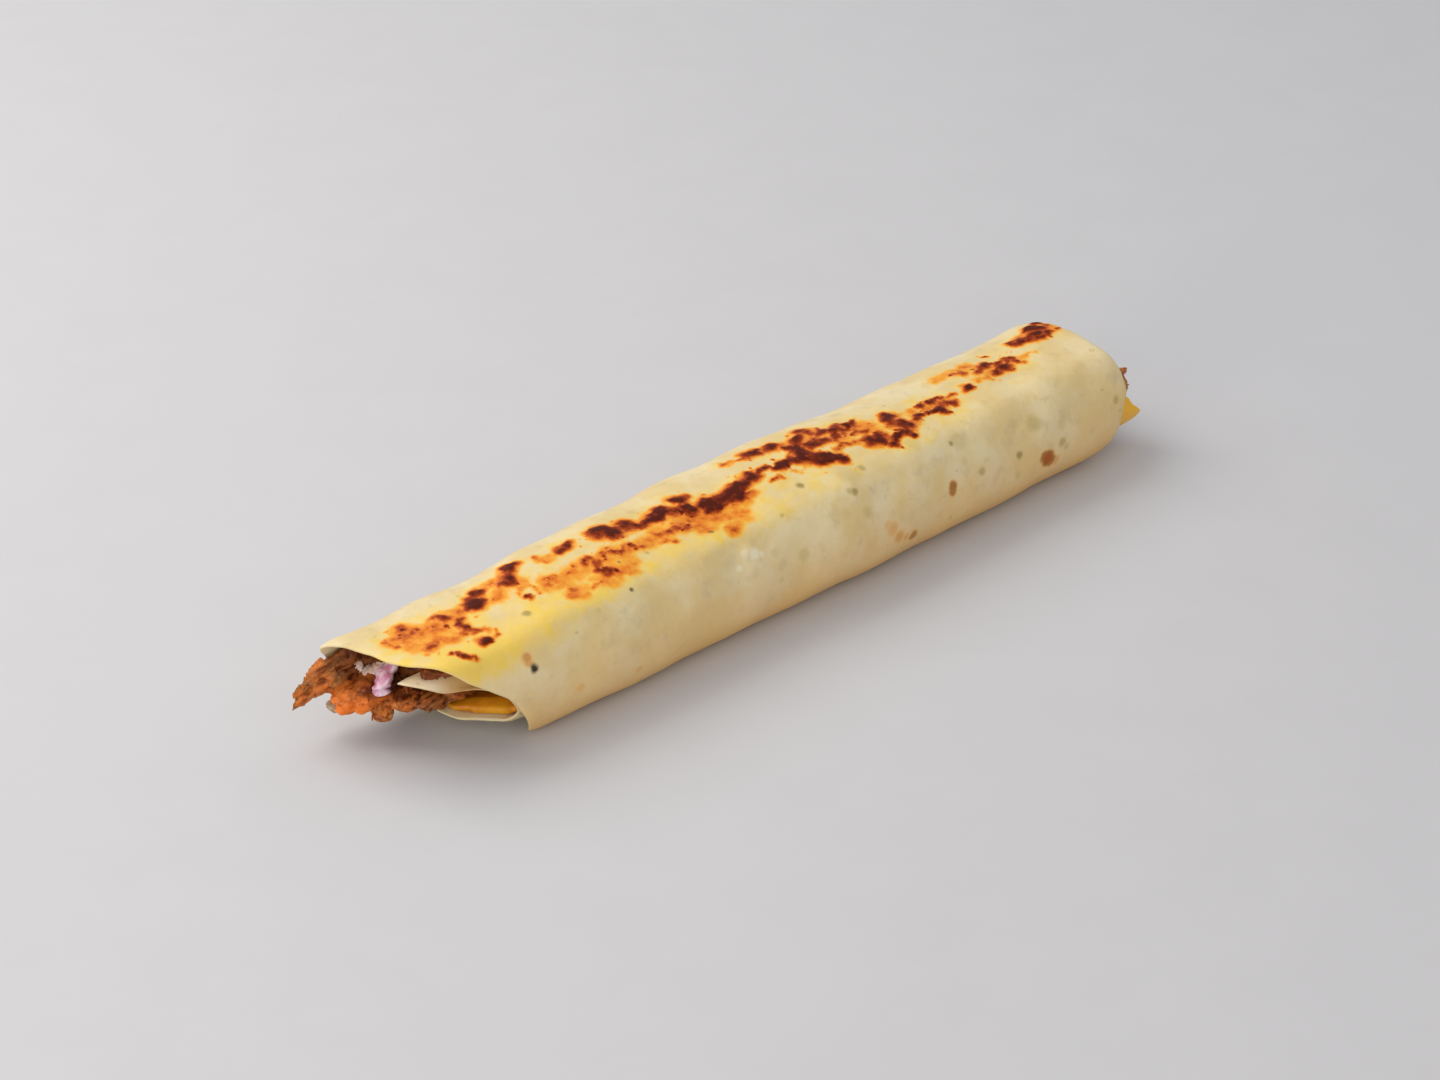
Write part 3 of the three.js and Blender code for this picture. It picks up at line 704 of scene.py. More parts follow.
def buildBread(material):
    x, angle, _ = sheetGrid(0)
    toast, halo = (value * (angle < 236) for value in griddled(x, angle))
    relief = breadRelief(x, angle, toast)
    outer = sheetGrid(0, relief)[2].reshape(-1, 3)
    inner = sheetGrid(1, sheet["insideRelief"] * relief)[2].reshape(-1, 3)
    rows, columns = x.shape
    top, border = gridFaces(rows, columns)
    inland = np.clip(np.stack(np.unravel_index(border, x.shape), -1), [1, 1], [rows - 2, columns - 2])
    middle = (outer[border] + inner[border]) / 2
    away = middle - outer[inland[:, 0] * columns + inland[:, 1]]
    middle = middle + sheet["rimBulge"] * away / np.linalg.norm(away, axis=1)[:, None]
    middle[:, 2] = np.maximum(middle[:, 2], sheet["rimLowest"])
    rim = np.arange(len(border)) + 2 * x.size
    after, nextRim = np.roll(border, -1), np.roll(rim, -1)
    faces = [
        top,
        top[:, ::-1] + x.size,
        np.stack([after, border, rim, nextRim], -1),
        np.stack([nextRim, rim, border + x.size, after + x.size], -1),
    ]
    skin = breadValues(x, angle, toast, halo)
    # the inner face keeps the flap's painted light
    inside = {**{key: np.zeros(x.size) for key in skin}, "flap": skin["flap"]}
    values = {}
    for key, value in skin.items():
        values[key] = np.concatenate([value, inside[key], value[border] * sheet["rimTone"]])
    points = np.concatenate([outer, inner, middle])
    points[:, 2] = np.maximum(points[:, 2], 0)
    return closedObject("bread", inFrame(points), np.concatenate(faces), material, values)


filling = {
    "clearance": 0.35,  # between the bread and what lies on it
    "cheeseStart": 260,
    "cheeseEnd": 380,
    "cheeseThickness": 3.6,
    "cheeseLines": 66,
    "cheeseStations": 150,
    "tongue": 19.5,  # how far the cheese hangs out of the tight end
    "pressedDepth": 16.5,  # the deepest that meat is pushed in by the layers
    "coreDepth": 15.5,
}


def fillingDepth(x, angle):  # just inside the bread
    return breadDepth(x, angle) + sheet["thickness"] + filling["clearance"]


def roomDepth(x, angle):  # how deep a point must lie to clear the bread and the cheese
    turn = np.minimum(np.where(angle > 200, angle, angle + 360), sheet["end"])
    flapEnd = sheet["end"] - 348

    def inside(line):
        return ramp(x, looseRim(line) - 3.5, looseRim(line) - 1.2)

    covered = np.maximum(ramp(angle, 216, 226), ramp(angle, flapEnd + 10, flapEnd))
    onCheese = np.minimum(1, ramp(angle, 252, 262) + ramp(angle, 38, 26))
    outerTurn = -8 + (fillingDepth(x, angle) + 8) * inside(angle)
    layers = covered * fillingDepth(x, turn) + (filling["cheeseThickness"] + 1.1) * onCheese
    return np.maximum(outerTurn, layers * inside(turn)) + 0.4


def pressedIn(points, margin=0.25):  # moved inwards until they clear the layers
    angle, depth = rollPlace(points)
    limit = roomDepth(points[:, 0], angle) + margin
    pressed = rollPoint(points[:, 0], angle, np.minimum(np.maximum(depth, limit), filling["pressedDepth"]))
    return np.where((depth < limit)[:, None], pressed, points)


def buildCheese(material):
    angles = np.linspace(filling["cheeseStart"], filling["cheeseEnd"], filling["cheeseLines"])
    t = np.linspace(0, 1, filling["cheeseStations"])
    share = t - 0.62 * np.sin(2 * np.pi * t) / (2 * np.pi)
    angle, share = np.meshgrid(angles, share, indexing="ij")
    drip = smoothNoise(np.stack([angle / 4, 0 * angle, 0 * angle], -1), 2.2, 6)
    start = looseRim(angle) + 1.6 + 1.2 * drip
    tongue = 1.2 + filling["tongue"] * hump(angle, 337, 31) + 0.9 * drip
    x = start + share * (tightRim(angle) + tongue - start)
    edge = np.sin(np.pi * np.clip((angle - 258) / 124, 0.0, 1)) ** 0.4
    ends = np.minimum(1, 0.25 + np.minimum(share, 1 - share) * 40)
    wave = 0.5 * smoothNoise(onSkin(x, angle), 6.5, 7)
    thickness = (filling["cheeseThickness"] + wave) * edge * ends ** 0.5
    outer = rollPoint(x, angle, fillingDepth(x, angle) + 0.05 + 0.3 * (1 - ends))
    inner = rollPoint(x, angle, fillingDepth(x, angle) + 0.2 + np.maximum(thickness, 0.3))
    top, border = gridFaces(*x.shape)
    after = np.roll(border, -1)
    side = np.stack([after, border, border + x.size, after + x.size], -1)
    points = np.concatenate([outer.reshape(-1, 3), inner.reshape(-1, 3)])
    faces = np.concatenate([top, top[:, ::-1] + x.size, side])
    values = {"tongue": ramp(points[:, 0], 110, 136)}
    return closedObject("meltedCheese", inFrame(points), faces, material, values)


def roundBall(level):
    build = bmesh.new()
    bmesh.ops.create_icosphere(build, subdivisions=level, radius=1)
    vertices = np.array([v.co[:] for v in build.verts])
    faces = np.array([[v.index for v in f.verts] for f in build.faces])
    build.free()
    return vertices, faces


def axesAlong(direction):  # rows: ahead, aside, above
    ahead = np.array(direction, float) / np.linalg.norm(direction)
    aside = np.cross([0, 0, 1.0], ahead)
    aside /= np.linalg.norm(aside)
    return np.stack([ahead, aside, np.cross(ahead, aside)])


def meatPiece(centre, size, direction, seed, sauce, level=3, press=True):
    # One piece of meat, rounded and uneven, its muscle fibres along its first axis
    ball, faces = roundBall(level)
    axes = axesAlong(direction)
    swollen = 1 + 0.22 * smoothNoise(ball * [0.8, 1.4, 1.4], 1.0, seed)
    swollen = swollen + 0.12 * smoothNoise(ball, 0.5, seed + 3)
    local = ball * (np.array(size) / 2) * swollen[:, None]
    points = local @ axes + np.array(centre)
    return {
        "points": pressedIn(points) if press else points,
        "faces": faces,
        "centre": np.array(centre, float),
        "axes": axes,
        "seed": seed,
        "sauce": sauce,
    }


# the smaller pieces of a chunk: how far out they sit, their size and shape, how they vary
knob = {"out": 0.7, "sizes": (0.38, 0.62), "shape": (1.7, 1.0, 0.9), "lean": 0.35, "tone": 0.3}


def meatChunk(centre, size, direction, sauce, knobs, seed, press=True):
    # A torn chunk: a main piece with smaller ones sticking out all round it
    draw = np.random.default_rng(int(seed * 10))
    axes = axesAlong(direction)
    pieces = [meatPiece(centre, np.array(size) * 0.86, direction, seed, sauce, 3, press)]
    for k in range(knobs):
        out = draw.normal(size=3)
        out = out / np.linalg.norm(out) * (np.array(size) / 2) * knob["out"]
        knobSize = min(size) * draw.uniform(*knob["sizes"]) * np.array(knob["shape"])
        lean = np.array(direction) + draw.normal(size=3) * knob["lean"]
        tone = sauce + draw.uniform(-knob["tone"], knob["tone"])
        middle = np.array(centre) + out @ axes
        pieces.append(meatPiece(middle, knobSize, lean, seed + k * 1.37, tone, 2, press))
    return pieces


def curvePoints(control, count):  # a smooth curve through the control points
    control = np.asarray(control, float)
    padded = np.vstack([2 * control[0] - control[1], control, 2 * control[-1] - control[-2]])
    out = []
    for t in np.linspace(0, len(control) - 1, count):
        k = min(int(t), len(control) - 2)
        f = t - k
        p0, p1, p2, p3 = padded[k : k + 4]
        second = 2 * p0 - 5 * p1 + 4 * p2 - p3
        third = 3 * p1 - p0 - 3 * p2 + p3
        out.append(0.5 * (2 * p1 + (p2 - p0) * f + second * f**2 + third * f**3))
    return np.array(out)


def strand(path, radius, seed, sides, flat, lumpy):  # a closed tube with tapered ends
    ahead = np.gradient(path, axis=0)
    ahead /= np.linalg.norm(ahead, axis=1)[:, None]
    side = np.cross(ahead, [0.12, 0.2, 1.0])
    side /= np.linalg.norm(side, axis=1)[:, None]
    up = np.cross(side, ahead)
    t = np.linspace(0, 1, len(path))
    taper = np.clip(np.minimum(t, 1 - t) * 7, 0.12, 1) ** 0.7
    turns = np.linspace(0, 2 * np.pi, sides, endpoint=False)
    ring = np.stack([np.zeros(sides), np.cos(turns), np.sin(turns)], -1)
    points = []
    for k, centre in enumerate(path):
        rough = 1 + lumpy * smoothNoise(ring + [k * 0.35, 0, 0], 0.8, seed)
        size = (radius * taper[k] * rough)[:, None]
        points.append(centre + size * (ring[:, 1:2] * side[k] + flat * ring[:, 2:] * up[k]))
    points = np.vstack(points + [path[:1], path[-1:]])
    faces = []
    for k in range(len(path) - 1):
        for j in range(sides):
            n = (j + 1) % sides
            faces.append([k * sides + j, k * sides + n, (k + 1) * sides + n, (k + 1) * sides + j])
    first, last, base = len(path) * sides, len(path) * sides + 1, (len(path) - 1) * sides
    faces += [[first, (j + 1) % sides, j] for j in range(sides)]
    faces += [[last, base + j, base + (j + 1) % sides] for j in range(sides)]
    return points, faces


# centre, size, direction of the fibres, how saucy, how many knobs; the chunks at the loose end
looseChunks = [
    ((-152.5, 12.5, 18), (15.5, 13, 12.5), (1, 0.5, 0.1), 0.95, 6),
    ((-157, 19, 14), (11.5, 11.5, 10.5), (1, -0.5, 0.3), 0.8, 5),
    ((-147, 4.5, 14), (14.5, 10.5, 8.5), (1, 0.3, 0), 0.5, 4),
    ((-151, 10.5, 9.4), (12, 8.5, 6.8), (1, 0.8, 0.1), 0.15, 0),
    ((-141, 0.5, 13.6), (14.5, 10.5, 6.2), (1, 0.2, 0.05), 0.35, 4),
    ((-135, 12, 20), (24, 17, 13), (1, 0.1, 0), 0.25, 5),
    ((-132, 2, 13), (20, 17, 11), (1, -0.2, 0), 0.3, 4),
    ((-148, 13, 23), (12, 8, 6.5), (1, 1, 0.2), 0.5, 3),
    ((-144, 18, 12), (15, 11, 11), (1, 0, 0.2), 0.45, 3),
]
tightChunks = [
    ((134, -8, 26), (17, 14, 10.5), (1, 0.2, 0), 0.3, 5),
    ((137, 3, 23), (14, 12.5, 11.5), (1, -0.4, 0.1), 0.5, 5),
    ((132, 11, 17), (17, 12.5, 13.5), (1, 0.3, 0), 0.4, 4),
    ((135, -4, 13.5), (16, 14.5, 10.5), (1, 0, -0.2), 0.3, 4),
    ((147, -15.5, 20.5), (15, 13, 14), (1, 0.4, 0), -0.1, 1),
    ((127, 2, 20), (20, 25, 17), (1, 0, 0), 0.4, 4),
]
# x, angle, depth and size of the scraps lying on the flap, under the bread
flapScraps = [
    (-146.5, 69, 6.9, (9, 6, 4.2)), (-142, 61, 6.5, (9, 6, 4.2)), (-137, 54, 6.3, (9, 6, 4)),
    (-131.5, 48, 6.2, (9, 6, 3.8)), (-134, 66, 7.2, (11, 8, 5)), (-127, 54, 6.4, (11, 8, 4.4)),
    (-141, 76, 7.6, (10, 7, 5)),
]
tightStrands = [
    [(119, 2, 20), (131, 1, 24), (141, -2, 25), (148, -5, 21)],
    [(119, 8, 14), (131, 9, 15), (142, 10, 14), (147, 9, 9)],
    [(119, -2, 16), (131, -7, 19), (141, -10, 18), (146, -11, 14)],
    [(119, 10, 20), (131, 13, 23), (140, 15, 22), (145, 16, 18)],
]
# rows of pieces: the strands of the tight end, and the strip that hangs out of the loose end
strandPieces = {"pieces": 5, "size": (9, 4.6, 4.2), "stray": 0.4, "seed": 90, "sauce": 0.3}
strip = {"rows": 6, "drop": 13, "pieces": 6, "size": (13, 5, 5.4), "stray": 0.5, "seed": 3}
meat = {
    "skin": 0.5,  # millimetres between the points of the skin
    "grooves": 0.45,  # how deep the muscle's grooves are
    "threads": 0.16,  # how high its threads stand
    "crags": 0.3,
    "smallestIsland": 200,  # vertices; what is smaller goes
    "scrapShade": 0.45,  # the scraps lie in deep shade
}


def piecesAlong(control, made, seed, sauce):  # pieces in a row along a curve
    draw = np.random.default_rng(seed)
    path = curvePoints(control, made["pieces"] * 4 + 1)
    pieces = []
    for k in range(made["pieces"]):
        here = path[k * 4 + 2]
        ahead = path[k * 4 + 4] - path[k * 4] + draw.normal(size=3) * 0.9
        scale = draw.uniform(0.72, 1.12)
        centre = here + draw.normal(size=3) * made["stray"]
        pieces.append(meatPiece(centre, np.array(made["size"]) * scale, ahead, seed + 0.9 * k, sauce))
    return pieces


def hangingStrip():
    pieces = []
    for i in range(strip["rows"]):
        down = (i / (strip["rows"] - 1) - 0.5) * strip["drop"]
        short = 1.6 * abs(i - 2.4)
        control = [
            (-134, 13 + 0.25 * down, 21 - 0.45 * down),
            (-147, 18 + 0.2 * down, 24.3 - 0.85 * down),
            (-159.5, 23 + 0.15 * down, 22 - 0.95 * down),
            (-175.2 + short, 30 + 0.1 * down, 14.6 - 0.85 * down),
        ]
        pieces += piecesAlong(control, strip, strip["seed"] + 7 * i, 0.02 + 0.08 * i)
    return pieces


heap = {"turnStep": 5, "stations": 60, "fromLooseRim": 19, "fromTightRim": 15, "taper": 6}


def heapCore():  # what fills the roll between its ends
    angles = np.arange(-90, 261, heap["turnStep"])
    angle, share = np.meshgrid(angles, np.linspace(0, 1, heap["stations"]), indexing="ij")
    line = np.where(angle < 85, angle + 360, angle)  # the innermost layer of bread there
    start, end = looseRim(line) + heap["fromLooseRim"], tightRim(line) - heap["fromTightRim"]
    x = start + share * (end - start)
    taper = heap["taper"] * (ramp(share, 0.05, 0) + ramp(share, 0.95, 1))
    depth = np.minimum(roomDepth(x, angle) + 0.8 + taper, filling["coreDepth"])
    depth = depth + 0.5 * (1 + smoothNoise(onSkin(x, angle), 4, 9))
    points = rollPoint(x, angle, depth).reshape(-1, 3)
    rows, columns = x.shape
    index = np.arange(rows * columns).reshape(rows, columns)
    lower, upper = index, np.roll(index, -1, axis=0)
    quads = np.stack([lower[:, :-1], upper[:, :-1], upper[:, 1:], lower[:, 1:]], -1).reshape(-1, 4)
    faces = quads.tolist() + [index[:, 0].tolist(), index[::-1, -1].tolist()]
    count = len(points)
    return {
        "points": points,
        "faces": faces,
        "grain": points.copy(),
        "sauce": np.full(count, 0.3),
        "tone": np.zeros(count),
        # painted shade: the whole core is darkened, standing in for the shade deep inside the roll
        "sunk": np.full(count, 0.4),
        "along": np.tile([1.0, 0, 0], (count, 1)),
        "open": np.zeros(count),
    }


def shaded(place):  # darker where it lies inside the loose mouth and under the flap there
    x, y = place[:, 0], place[:, 1]
    rim = looseRim(rollPlace(place)[0])
    underFlap = 0.65 * ramp(x, -152, -145) * ramp(y, 9, 4)
    return np.maximum(ramp(x, rim - 4, rim + 3), underFlap) * (x < 0)


def withoutSpecks(mesh):  # takes out what is left floating
    build = bmesh.new()
    build.from_mesh(mesh)
    seen, specks = set(), []
    for start in build.verts:
        if start in seen:
            continue
        seen.add(start)
        island = [start]
        for vertex in island:
            nextOnes = [edge.other_vert(vertex) for edge in vertex.link_edges]
            nextOnes = [other for other in nextOnes if other not in seen]
            seen.update(nextOnes)
            island += nextOnes
        if len(island) < meat["smallestIsland"]:
            specks += island
    bmesh.ops.delete(build, geom=specks, context="VERTS")
    build.to_mesh(mesh)
    build.free()


def meltedTogether(pieces):
    # One skin round overlapping pieces, which then gets each piece's own grooves and threads
    counts = [len(piece["points"]) for piece in pieces]
    points = np.concatenate([piece["points"] for piece in pieces])
    shifts = np.concatenate([[0], np.cumsum(counts)[:-1]])
    faces = np.concatenate([piece["faces"] + shift for piece, shift in zip(pieces, shifts)])
    rough = newObject("roughMeat", points / 1000, faces, None)
    remesh = rough.modifiers.new("skin", "REMESH")
    remesh.mode = "VOXEL"
    remesh.voxel_size = meat["skin"] / 1000
    skin = bpy.data.meshes.new_from_object(rough.evaluated_get(bpy.context.evaluated_depsgraph_get()))
    bpy.data.objects.remove(rough)
    withoutSpecks(skin)
    place, normal = skinOf(skin)
    place = place * 1000
    tree = kdtree.KDTree(len(points))
    for index, point in enumerate(points):
        tree.insert(point, index)
    tree.balance()
    owner = np.repeat(np.arange(len(pieces)), counts)
    nearest = owner[[tree.find(point)[1] for point in place]]
    keys = ("axes", "centre", "seed", "sauce")
    axes, centre, seed, sauce = (np.array([piece[key] for piece in pieces], float)[nearest] for key in keys)
    local = np.einsum("nij,nj->ni", axes, place - centre) + seed[:, None] * 3.7
    grooves = 1 - np.abs(smoothNoise(local * [0.16, 1, 1], 1.7, 1)) * 2.2
    threads = smoothNoise(local * [0.14, 1, 1], 0.85, 4)
    crags = smoothNoise(place, 2.4, 6) + 0.6 * smoothNoise(place, 1.1, 8)
    cut = np.maximum(grooves, 0) ** 2
    relief = -meat["grooves"] * cut + meat["threads"] * threads + meat["crags"] * crags
    faces = [list(polygon.vertices) for polygon in skin.polygons]
    bpy.data.meshes.remove(skin)
    # painted shade: darker in the bottoms of the grooves, where shade falls, and more inside the loose mouth
    # and under the flap
    sunk = np.clip((1.1 * cut - 0.25 - 0.5 * crags) * ramp(sauce, 1.3, 0.3), 0, 1)
    return {
        "points": place + normal * relief[:, None],
        "faces": faces,
        "grain": local,
        "sauce": sauce + 0.25 * smoothNoise(place, 5, 3),
        "tone": np.clip(0.5 + 0.6 * np.sin(seed * 37), 0, 1) * ramp(sauce, 0.7, 0.2),
        "sunk": sunk + 0.8 * shaded(place),
        "along": axes[:, 0],
        "open": np.ones(len(place)),
    }


def clearOfLayers(part):
    part["points"] = pressedIn(part["points"], 0.1)
    return part


def buildChicken(material):
    loose, tight = hangingStrip(), []
    for k, (*chunk, knobs) in enumerate(looseChunks):
        loose += meatChunk(*chunk, knobs, seed=3.3 + k * 1.9)
    for k, (*chunk, knobs) in enumerate(tightChunks):
        tight += meatChunk(*chunk, knobs, seed=31.3 + k * 1.9)
    for k, control in enumerate(tightStrands):
        tight += piecesAlong(control, strandPieces, strandPieces["seed"] + 7 * k, strandPieces["sauce"])
    scraps = []
    for k, (x, angle, depth, size) in enumerate(flapScraps):
        centre = rollPoint(np.array(x), np.array(angle), np.array(depth))
        scraps += meatChunk(centre, size, (1, -0.2, 0.05), 0.5, 4, seed=60.1 + k * 2.3, press=False)
    parts = [heapCore()] + [clearOfLayers(meltedTogether(pieces)) for pieces in (loose, tight)]
    parts.append(meltedTogether(scraps))
    parts[-1]["sunk"] = np.clip(parts[-1]["sunk"] + meat["scrapShade"], 0, 1)
    points, faces, count = [], [], 0
    for part in parts:
        faces += [[index + count for index in face] for face in part["faces"]]
        points.append(part["points"])
        count += len(part["points"])
    keys = [key for key in parts[0] if key not in ("points", "faces")]
    values = {key: np.concatenate([part[key] for part in parts]) for key in keys}
    values["grain"] = values["grain"] / 1000
    return closedObject("pulledChicken", inFrame(np.concatenate(points)), faces, material, values)


# how many per square metre, and their length and thickness in metres
shreds = {"Density": 11000.0, "Length": 0.003, "Thickness": 0.00022, "Seed": 5}
shredShape = {"rise": 0.22, "lean": 0.16, "sizes": (0.55, 1.5), "steps": 8, "sides": 6}


def shredNodes():  # small shreds lying along the muscle's fibres
    tree = bpy.data.node_groups.new("shredsAlongGrain", "GeometryNodeTree")
    sockets = [("Geometry", "Geometry"), *((key, "Float") for key in ("Density", "Length", "Thickness"))]
    for name, kind in (*sockets, ("Seed", "Int"), ("Material", "Material")):
        tree.interface.new_socket(name, in_out="INPUT", socket_type=f"NodeSocket{kind}")
    tree.interface.new_socket("Geometry", in_out="OUTPUT", socket_type="NodeSocketGeometry")
    given = tree.nodes.new("NodeGroupInput").outputs

    def add(kind, output, inputs=None, **settings):
        return addNode(tree, kind, inputs or {}, **settings).outputs[output]

    def calculated(operation, *values):
        return add("ShaderNodeMath", 0, dict(enumerate(values)), operation=operation)

    def stored(name, kind):
        return add("GeometryNodeInputNamedAttribute", "Attribute", {"Name": name}, data_type=kind)

    def drawn(low, high, kind):
        inputs = {"Min": low, "Max": high, "Seed": given["Seed"]}
        return add("FunctionNodeRandomValue", "Value", inputs, data_type=kind)

    density = calculated("MULTIPLY", stored("open", "FLOAT"), given["Density"])
    inputs = {"Mesh": given["Geometry"], "Density": density, "Seed": given["Seed"]}
    points = add("GeometryNodeDistributePointsOnFaces", "Points", inputs, distribute_method="RANDOM")
    jitter = drawn((-shredShape["lean"],) * 3, (shredShape["lean"],) * 3, "FLOAT_VECTOR")
    lean = add("ShaderNodeVectorMath", 0, {0: stored("along", "FLOAT_VECTOR"), 1: jitter})
    turn = add("FunctionNodeAlignRotationToVector", "Rotation", {"Vector": lean}, axis="X")
    # one shred: a tube along a short arc, thickest in its middle
    shares = (-0.5, 0.5, shredShape["rise"])
    back, ahead, rise = (calculated("MULTIPLY", given["Length"], share) for share in shares)
    ends = {"Start": {"X": back}, "Middle": {"Y": rise, "Z": rise}, "End": {"X": ahead}}
    arc = {key: add("ShaderNodeCombineXYZ", 0, place) for key, place in ends.items()}
    arc = add("GeometryNodeCurveQuadraticBezier", "Curve", {**arc, "Resolution": shredShape["steps"]})
    swell = calculated("PINGPONG", add("GeometryNodeSplineParameter", "Factor"), 0.5)
    radius = calculated("MULTIPLY_ADD", swell, 1.5, 0.25)
    arc = add("GeometryNodeSetCurveRadius", "Curve", {"Curve": arc, "Radius": radius})
    inputs = {"Resolution": shredShape["sides"], "Radius": given["Thickness"]}
    circle = add("GeometryNodeCurvePrimitiveCircle", "Curve", inputs)
    inputs = {"Curve": arc, "Profile Curve": circle, "Fill Caps": True}
    tube = add("GeometryNodeCurveToMesh", "Mesh", inputs)
    inputs = {"Points": points, "Instance": tube, "Rotation": turn}
    inputs["Scale"] = drawn(*shredShape["sizes"], "FLOAT")
    made = add("GeometryNodeInstanceOnPoints", "Instances", inputs)
    made = add("GeometryNodeRealizeInstances", "Geometry", {"Geometry": made})
    made = add("GeometryNodeSetShadeSmooth", "Geometry", {"Geometry": made})
    made = add("GeometryNodeSetMaterial", "Geometry", {"Geometry": made, "Material": given["Material"]})
    addNode(tree, "NodeGroupOutput", {"Geometry": made})
    return tree


def scattered(name, carrier, tree, settings):  # what the nodes make, as an object of its own
    modifier = carrier.modifiers.new("scatter", "NODES")
    modifier.node_group = tree
    for item in tree.interface.items_tree:
        if item.in_out == "INPUT" and item.name in settings:
            modifier[item.identifier] = settings[item.name]
    evaluated = carrier.evaluated_get(bpy.context.evaluated_depsgraph_get())
    mesh = bpy.data.meshes.new_from_object(evaluated)
    carrier.modifiers.remove(modifier)
    mesh.name = name
    return linked(name, mesh)


onionShape = {
    "path": [(-148, 9, 25.4), (-152, 6.8, 24.4), (-154.8, 5.6, 21.6), (-155, 6.2, 18.2)],
    "rings": 26,
    "radius": 2.7,
    "seed": 4,
    "sides": 18,
    "flat": 0.7,
    "lumpy": 0.5,
}


def buildOnion(material):
    path = curvePoints(onionShape["path"], onionShape["rings"])
    points, faces = strand(path, *(onionShape[key] for key in ("radius", "seed", "sides", "flat", "lumpy")))
    return closedObject("redOnion", inFrame(points), faces, material)


pickleShape = {"middle": (-159.2, 22.9, 8.8), "half": (2.5, 2.2, 2.1), "roundness": 0.7, "lumpy": 0.2}


def buildPickle(material):
    ball, faces = roundBall(4)
    cube = signedPower(ball, pickleShape["roundness"]) * pickleShape["half"]
    cube = cube * (1 + pickleShape["lumpy"] * smoothNoise(ball, 0.6, 2))[:, None] + pickleShape["middle"]
    return closedObject("picklePiece", inFrame(cube), faces, material)


# where each smear of garlic sauce is thickest, how far it reaches and how thick it is
sauceSmears = [
    ((-153.5, 14, 22.8), 3.0, 0.8), ((-152.4, 11.2, 24), 3.0, 0.9), ((-153, 18, 22.6), 2.2, 0.6),
    ((-151, 5.5, 24.5), 3.0, 0.9), ((-146, 9.5, 25.4), 4.0, 0.8), ((-149, 3.2, 21.5), 3.0, 0.9),
]
sauceEdge = 0.05  # millimetres, how thick the film is at its edge
sauceUnder = 0.0003  # metres that its underside lies in the meat


def buildSauce(material, mesh):  # a film over the meat, closed underneath, just inside it
    points, normals = skinOf(mesh)
    place = points * 1000 - frameShift
    wavy = place + 1.1 * np.stack([smoothNoise(place, 3.5, seed) for seed in (3, 4, 5)], -1)
    film = np.zeros(len(points))
    for centre, reach, thickness in sauceSmears:
        away = np.linalg.norm(wavy - centre, axis=1) / reach
        film = np.maximum(film, thickness * (1 - away**2))
    used = [list(face.vertices) for face in mesh.polygons]
    used = [face for face in used if film[face].min() > sauceEdge]
    kept = sorted({index for face in used for index in face})
    renumbered = {index: k for k, index in enumerate(kept)}
    used = [[renumbered[index] for index in face] for face in used]
    film = film[kept] * (1 + 0.15 * smoothNoise(place[kept], 2.5, 6))
    over = points[kept] + normals[kept] * film[:, None] / 1000
    under = points[kept] - normals[kept] * sauceUnder
    edges = {(a, b) for face in used for a, b in zip(face, face[1:] + face[:1])}
    size = len(kept)
    faces = used + [[index + size for index in reversed(face)] for face in used]
    faces += [[b, a, a + size, b + size] for a, b in sorted(edges) if (b, a) not in edges]
    return closedObject("garlicSauce", np.concatenate([over, under]), faces, material)


frameShift = np.zeros(3)  # from the roll's own place to the frame's
low, high = (np.array(corner) * 1000 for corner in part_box("tortilla"))
plain = np.concatenate([sheetGrid(face, 0, 0)[2].reshape(-1, 3) for face in (0, 1)])
frameShift[:2] = ((low + high) / 2 - (plain.min(0) + plain.max(0)) / 2)[:2]
print("roll placed, shift in mm:", np.round(frameShift, 2))

bread = buildBread(griddledBread())
print("bread:", len(bread.data.polygons), "faces")
cheese = buildCheese(cheeseFinish())
print("cheese:", len(cheese.data.polygons), "faces")
meatFinish = chickenFinish()
chicken = buildChicken(meatFinish)
print("chicken:", len(chicken.data.polygons), "faces")
shredPiece = scattered("chickenShreds", chicken, shredNodes(), {**shreds, "Material": meatFinish})
print("shreds:", len(shredPiece.data.polygons), "faces")
onion = buildOnion(plainFood("redOnion"))
pickle = buildPickle(plainFood("pickle"))
sauce = buildSauce(plainFood("garlicSauce"), chicken.data)
print("sauce:", len(sauce.data.polygons), "faces")

rides = (
    (bread, "griddled_bread", "tortilla"),
    (cheese, "melted_cheese", "cheese"),
    (chicken, "pulled_chicken", "chicken"),
    (shredPiece, "pulled_chicken", None),
    (onion, "red_onion", "onion"),
    (pickle, "pickle", "pickle"),
    (sauce, "garlic_sauce", None),
)
for piece, slotName, node in rides:
    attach(piece, "root")
    if node:
        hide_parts(node)

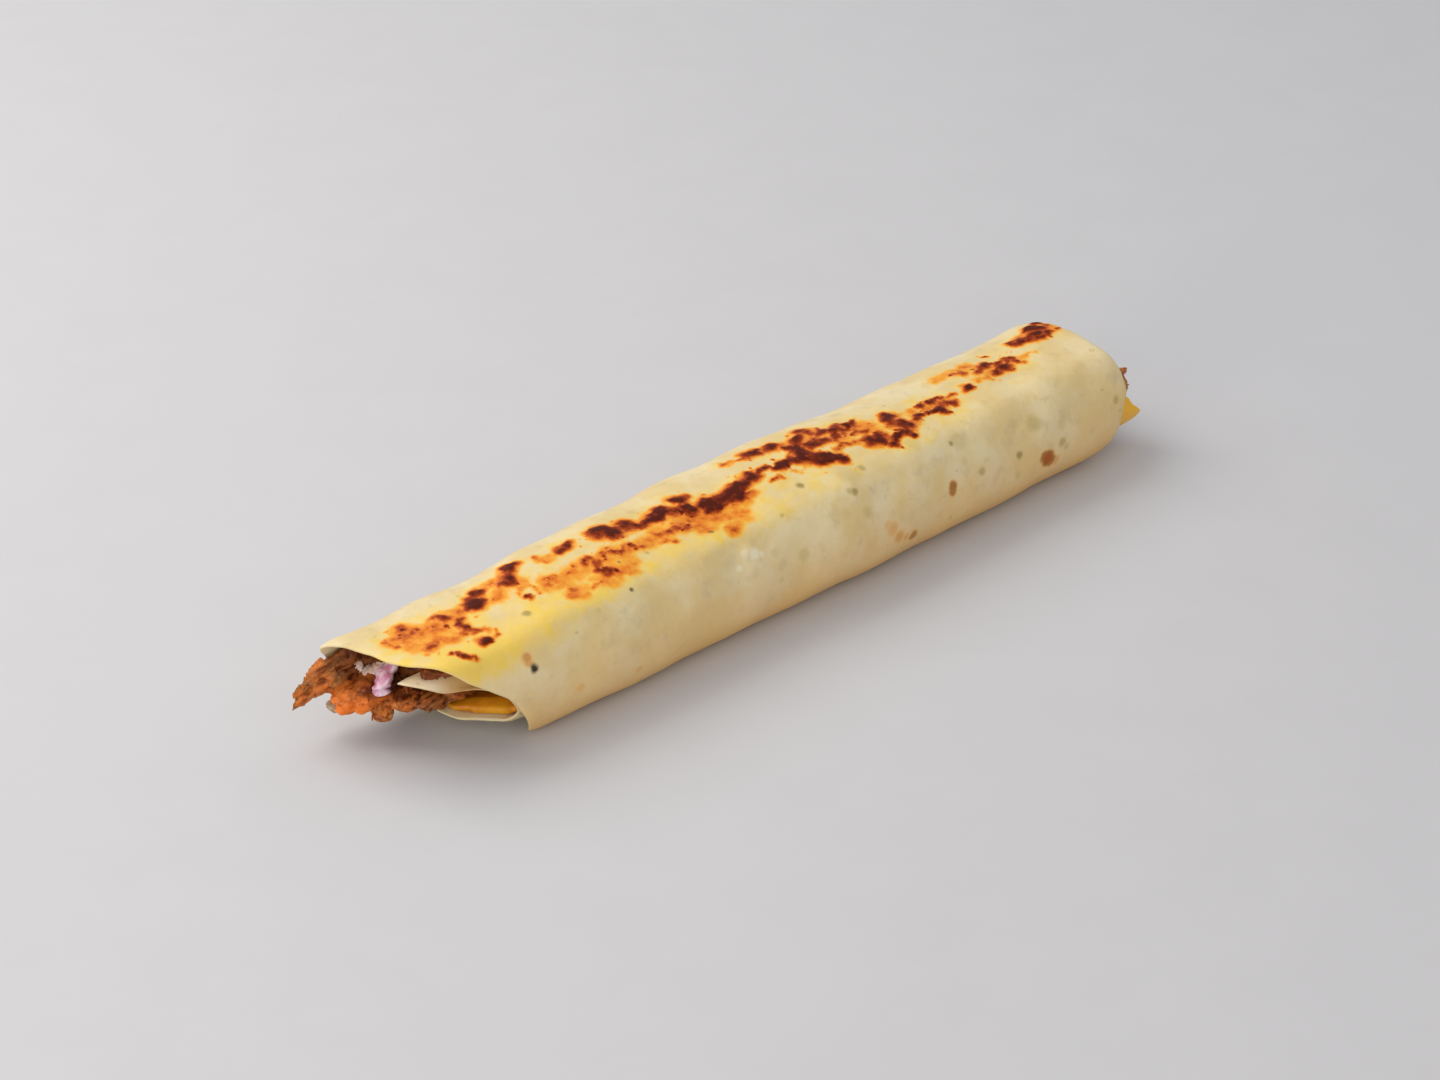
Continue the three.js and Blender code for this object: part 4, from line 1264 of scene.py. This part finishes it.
studio = {
    "azimuth": -43.6,
    "elevation": 30,
    "lens": 90,
    "distance": 1.176,  # metres
    "aim": (2.1, 26.1, 0),  # millimetres, in the roll's own place
    "floor": (0.60, 0.595, 0.61),
    "floorClouds": (0.56, 0.555, 0.57),
    "sky": (0.96, 0.97, 1.0),
    "skyStrength": 0.56,
}
# where each light stands, where it points, its size, power and colour
lights = {
    "window": ((-0.35, 0.75, 0.95), (0, 0, 0), (1.1, 0.9), 9.9, (1.0, 0.97, 0.92)),
    "side": ((-1.25, -0.3, 0.38), (-0.15, 0, 0.02), (0.5, 0.5), 3.8, (1.0, 0.96, 0.90)),
    "fill": ((-0.7, -1.0, 0.8), (0, 0, 0), (1.2, 1.0), 2.1, (1.0, 0.95, 0.88)),
}


def buildFloor():
    corners = [(-3, -3, 0), (3, -3, 0), (3, 3, 0), (-3, 3, 0)]
    look = Finish("paleFloor")
    clouds = look.spread(look.noise(30, 5), 0.3, 0.7, 0, 0.25)
    colour = look.mix(clouds, studio["floor"], studio["floorClouds"])
    floor = newObject("floor", corners, [(0, 1, 2, 3)], look.finish(colour, 0.7))


def addLight(name, place, aim, size, power, colour):
    light = bpy.data.lights.new(name, "AREA")
    light.shape = "RECTANGLE"
    light.size, light.size_y = size
    light.energy = power
    light.color = colour
    obj = linked(name, light)
    obj.location = place
    obj.rotation_euler = (Vector(aim) - Vector(place)).to_track_quat("-Z", "Y").to_euler()


def addCamera():
    a, e = math.radians(studio["azimuth"]), math.radians(studio["elevation"])
    back = Vector((math.sin(a) * math.cos(e), -math.cos(a) * math.cos(e), math.sin(e)))
    camera = bpy.data.cameras.new("camera")
    camera.lens = studio["lens"]
    camera.sensor_width = 36
    obj = linked("camera", camera)
    obj.location = Vector(inFrame(studio["aim"])) + back * studio["distance"]
    obj.rotation_euler = (-back).to_track_quat("-Z", "Y").to_euler()
    bpy.context.scene.camera = obj


buildFloor()
for lightName, values in lights.items():
    addLight(lightName, *values)
world = bpy.data.worlds.new("sky")
world.use_nodes = True
sky = world.node_tree.nodes["Background"].inputs
sky["Color"].default_value = (*studio["sky"], 1)
sky["Strength"].default_value = studio["skyStrength"]
bpy.context.scene.world = world
bpy.context.scene.view_settings.view_transform = "Standard"
addCamera()
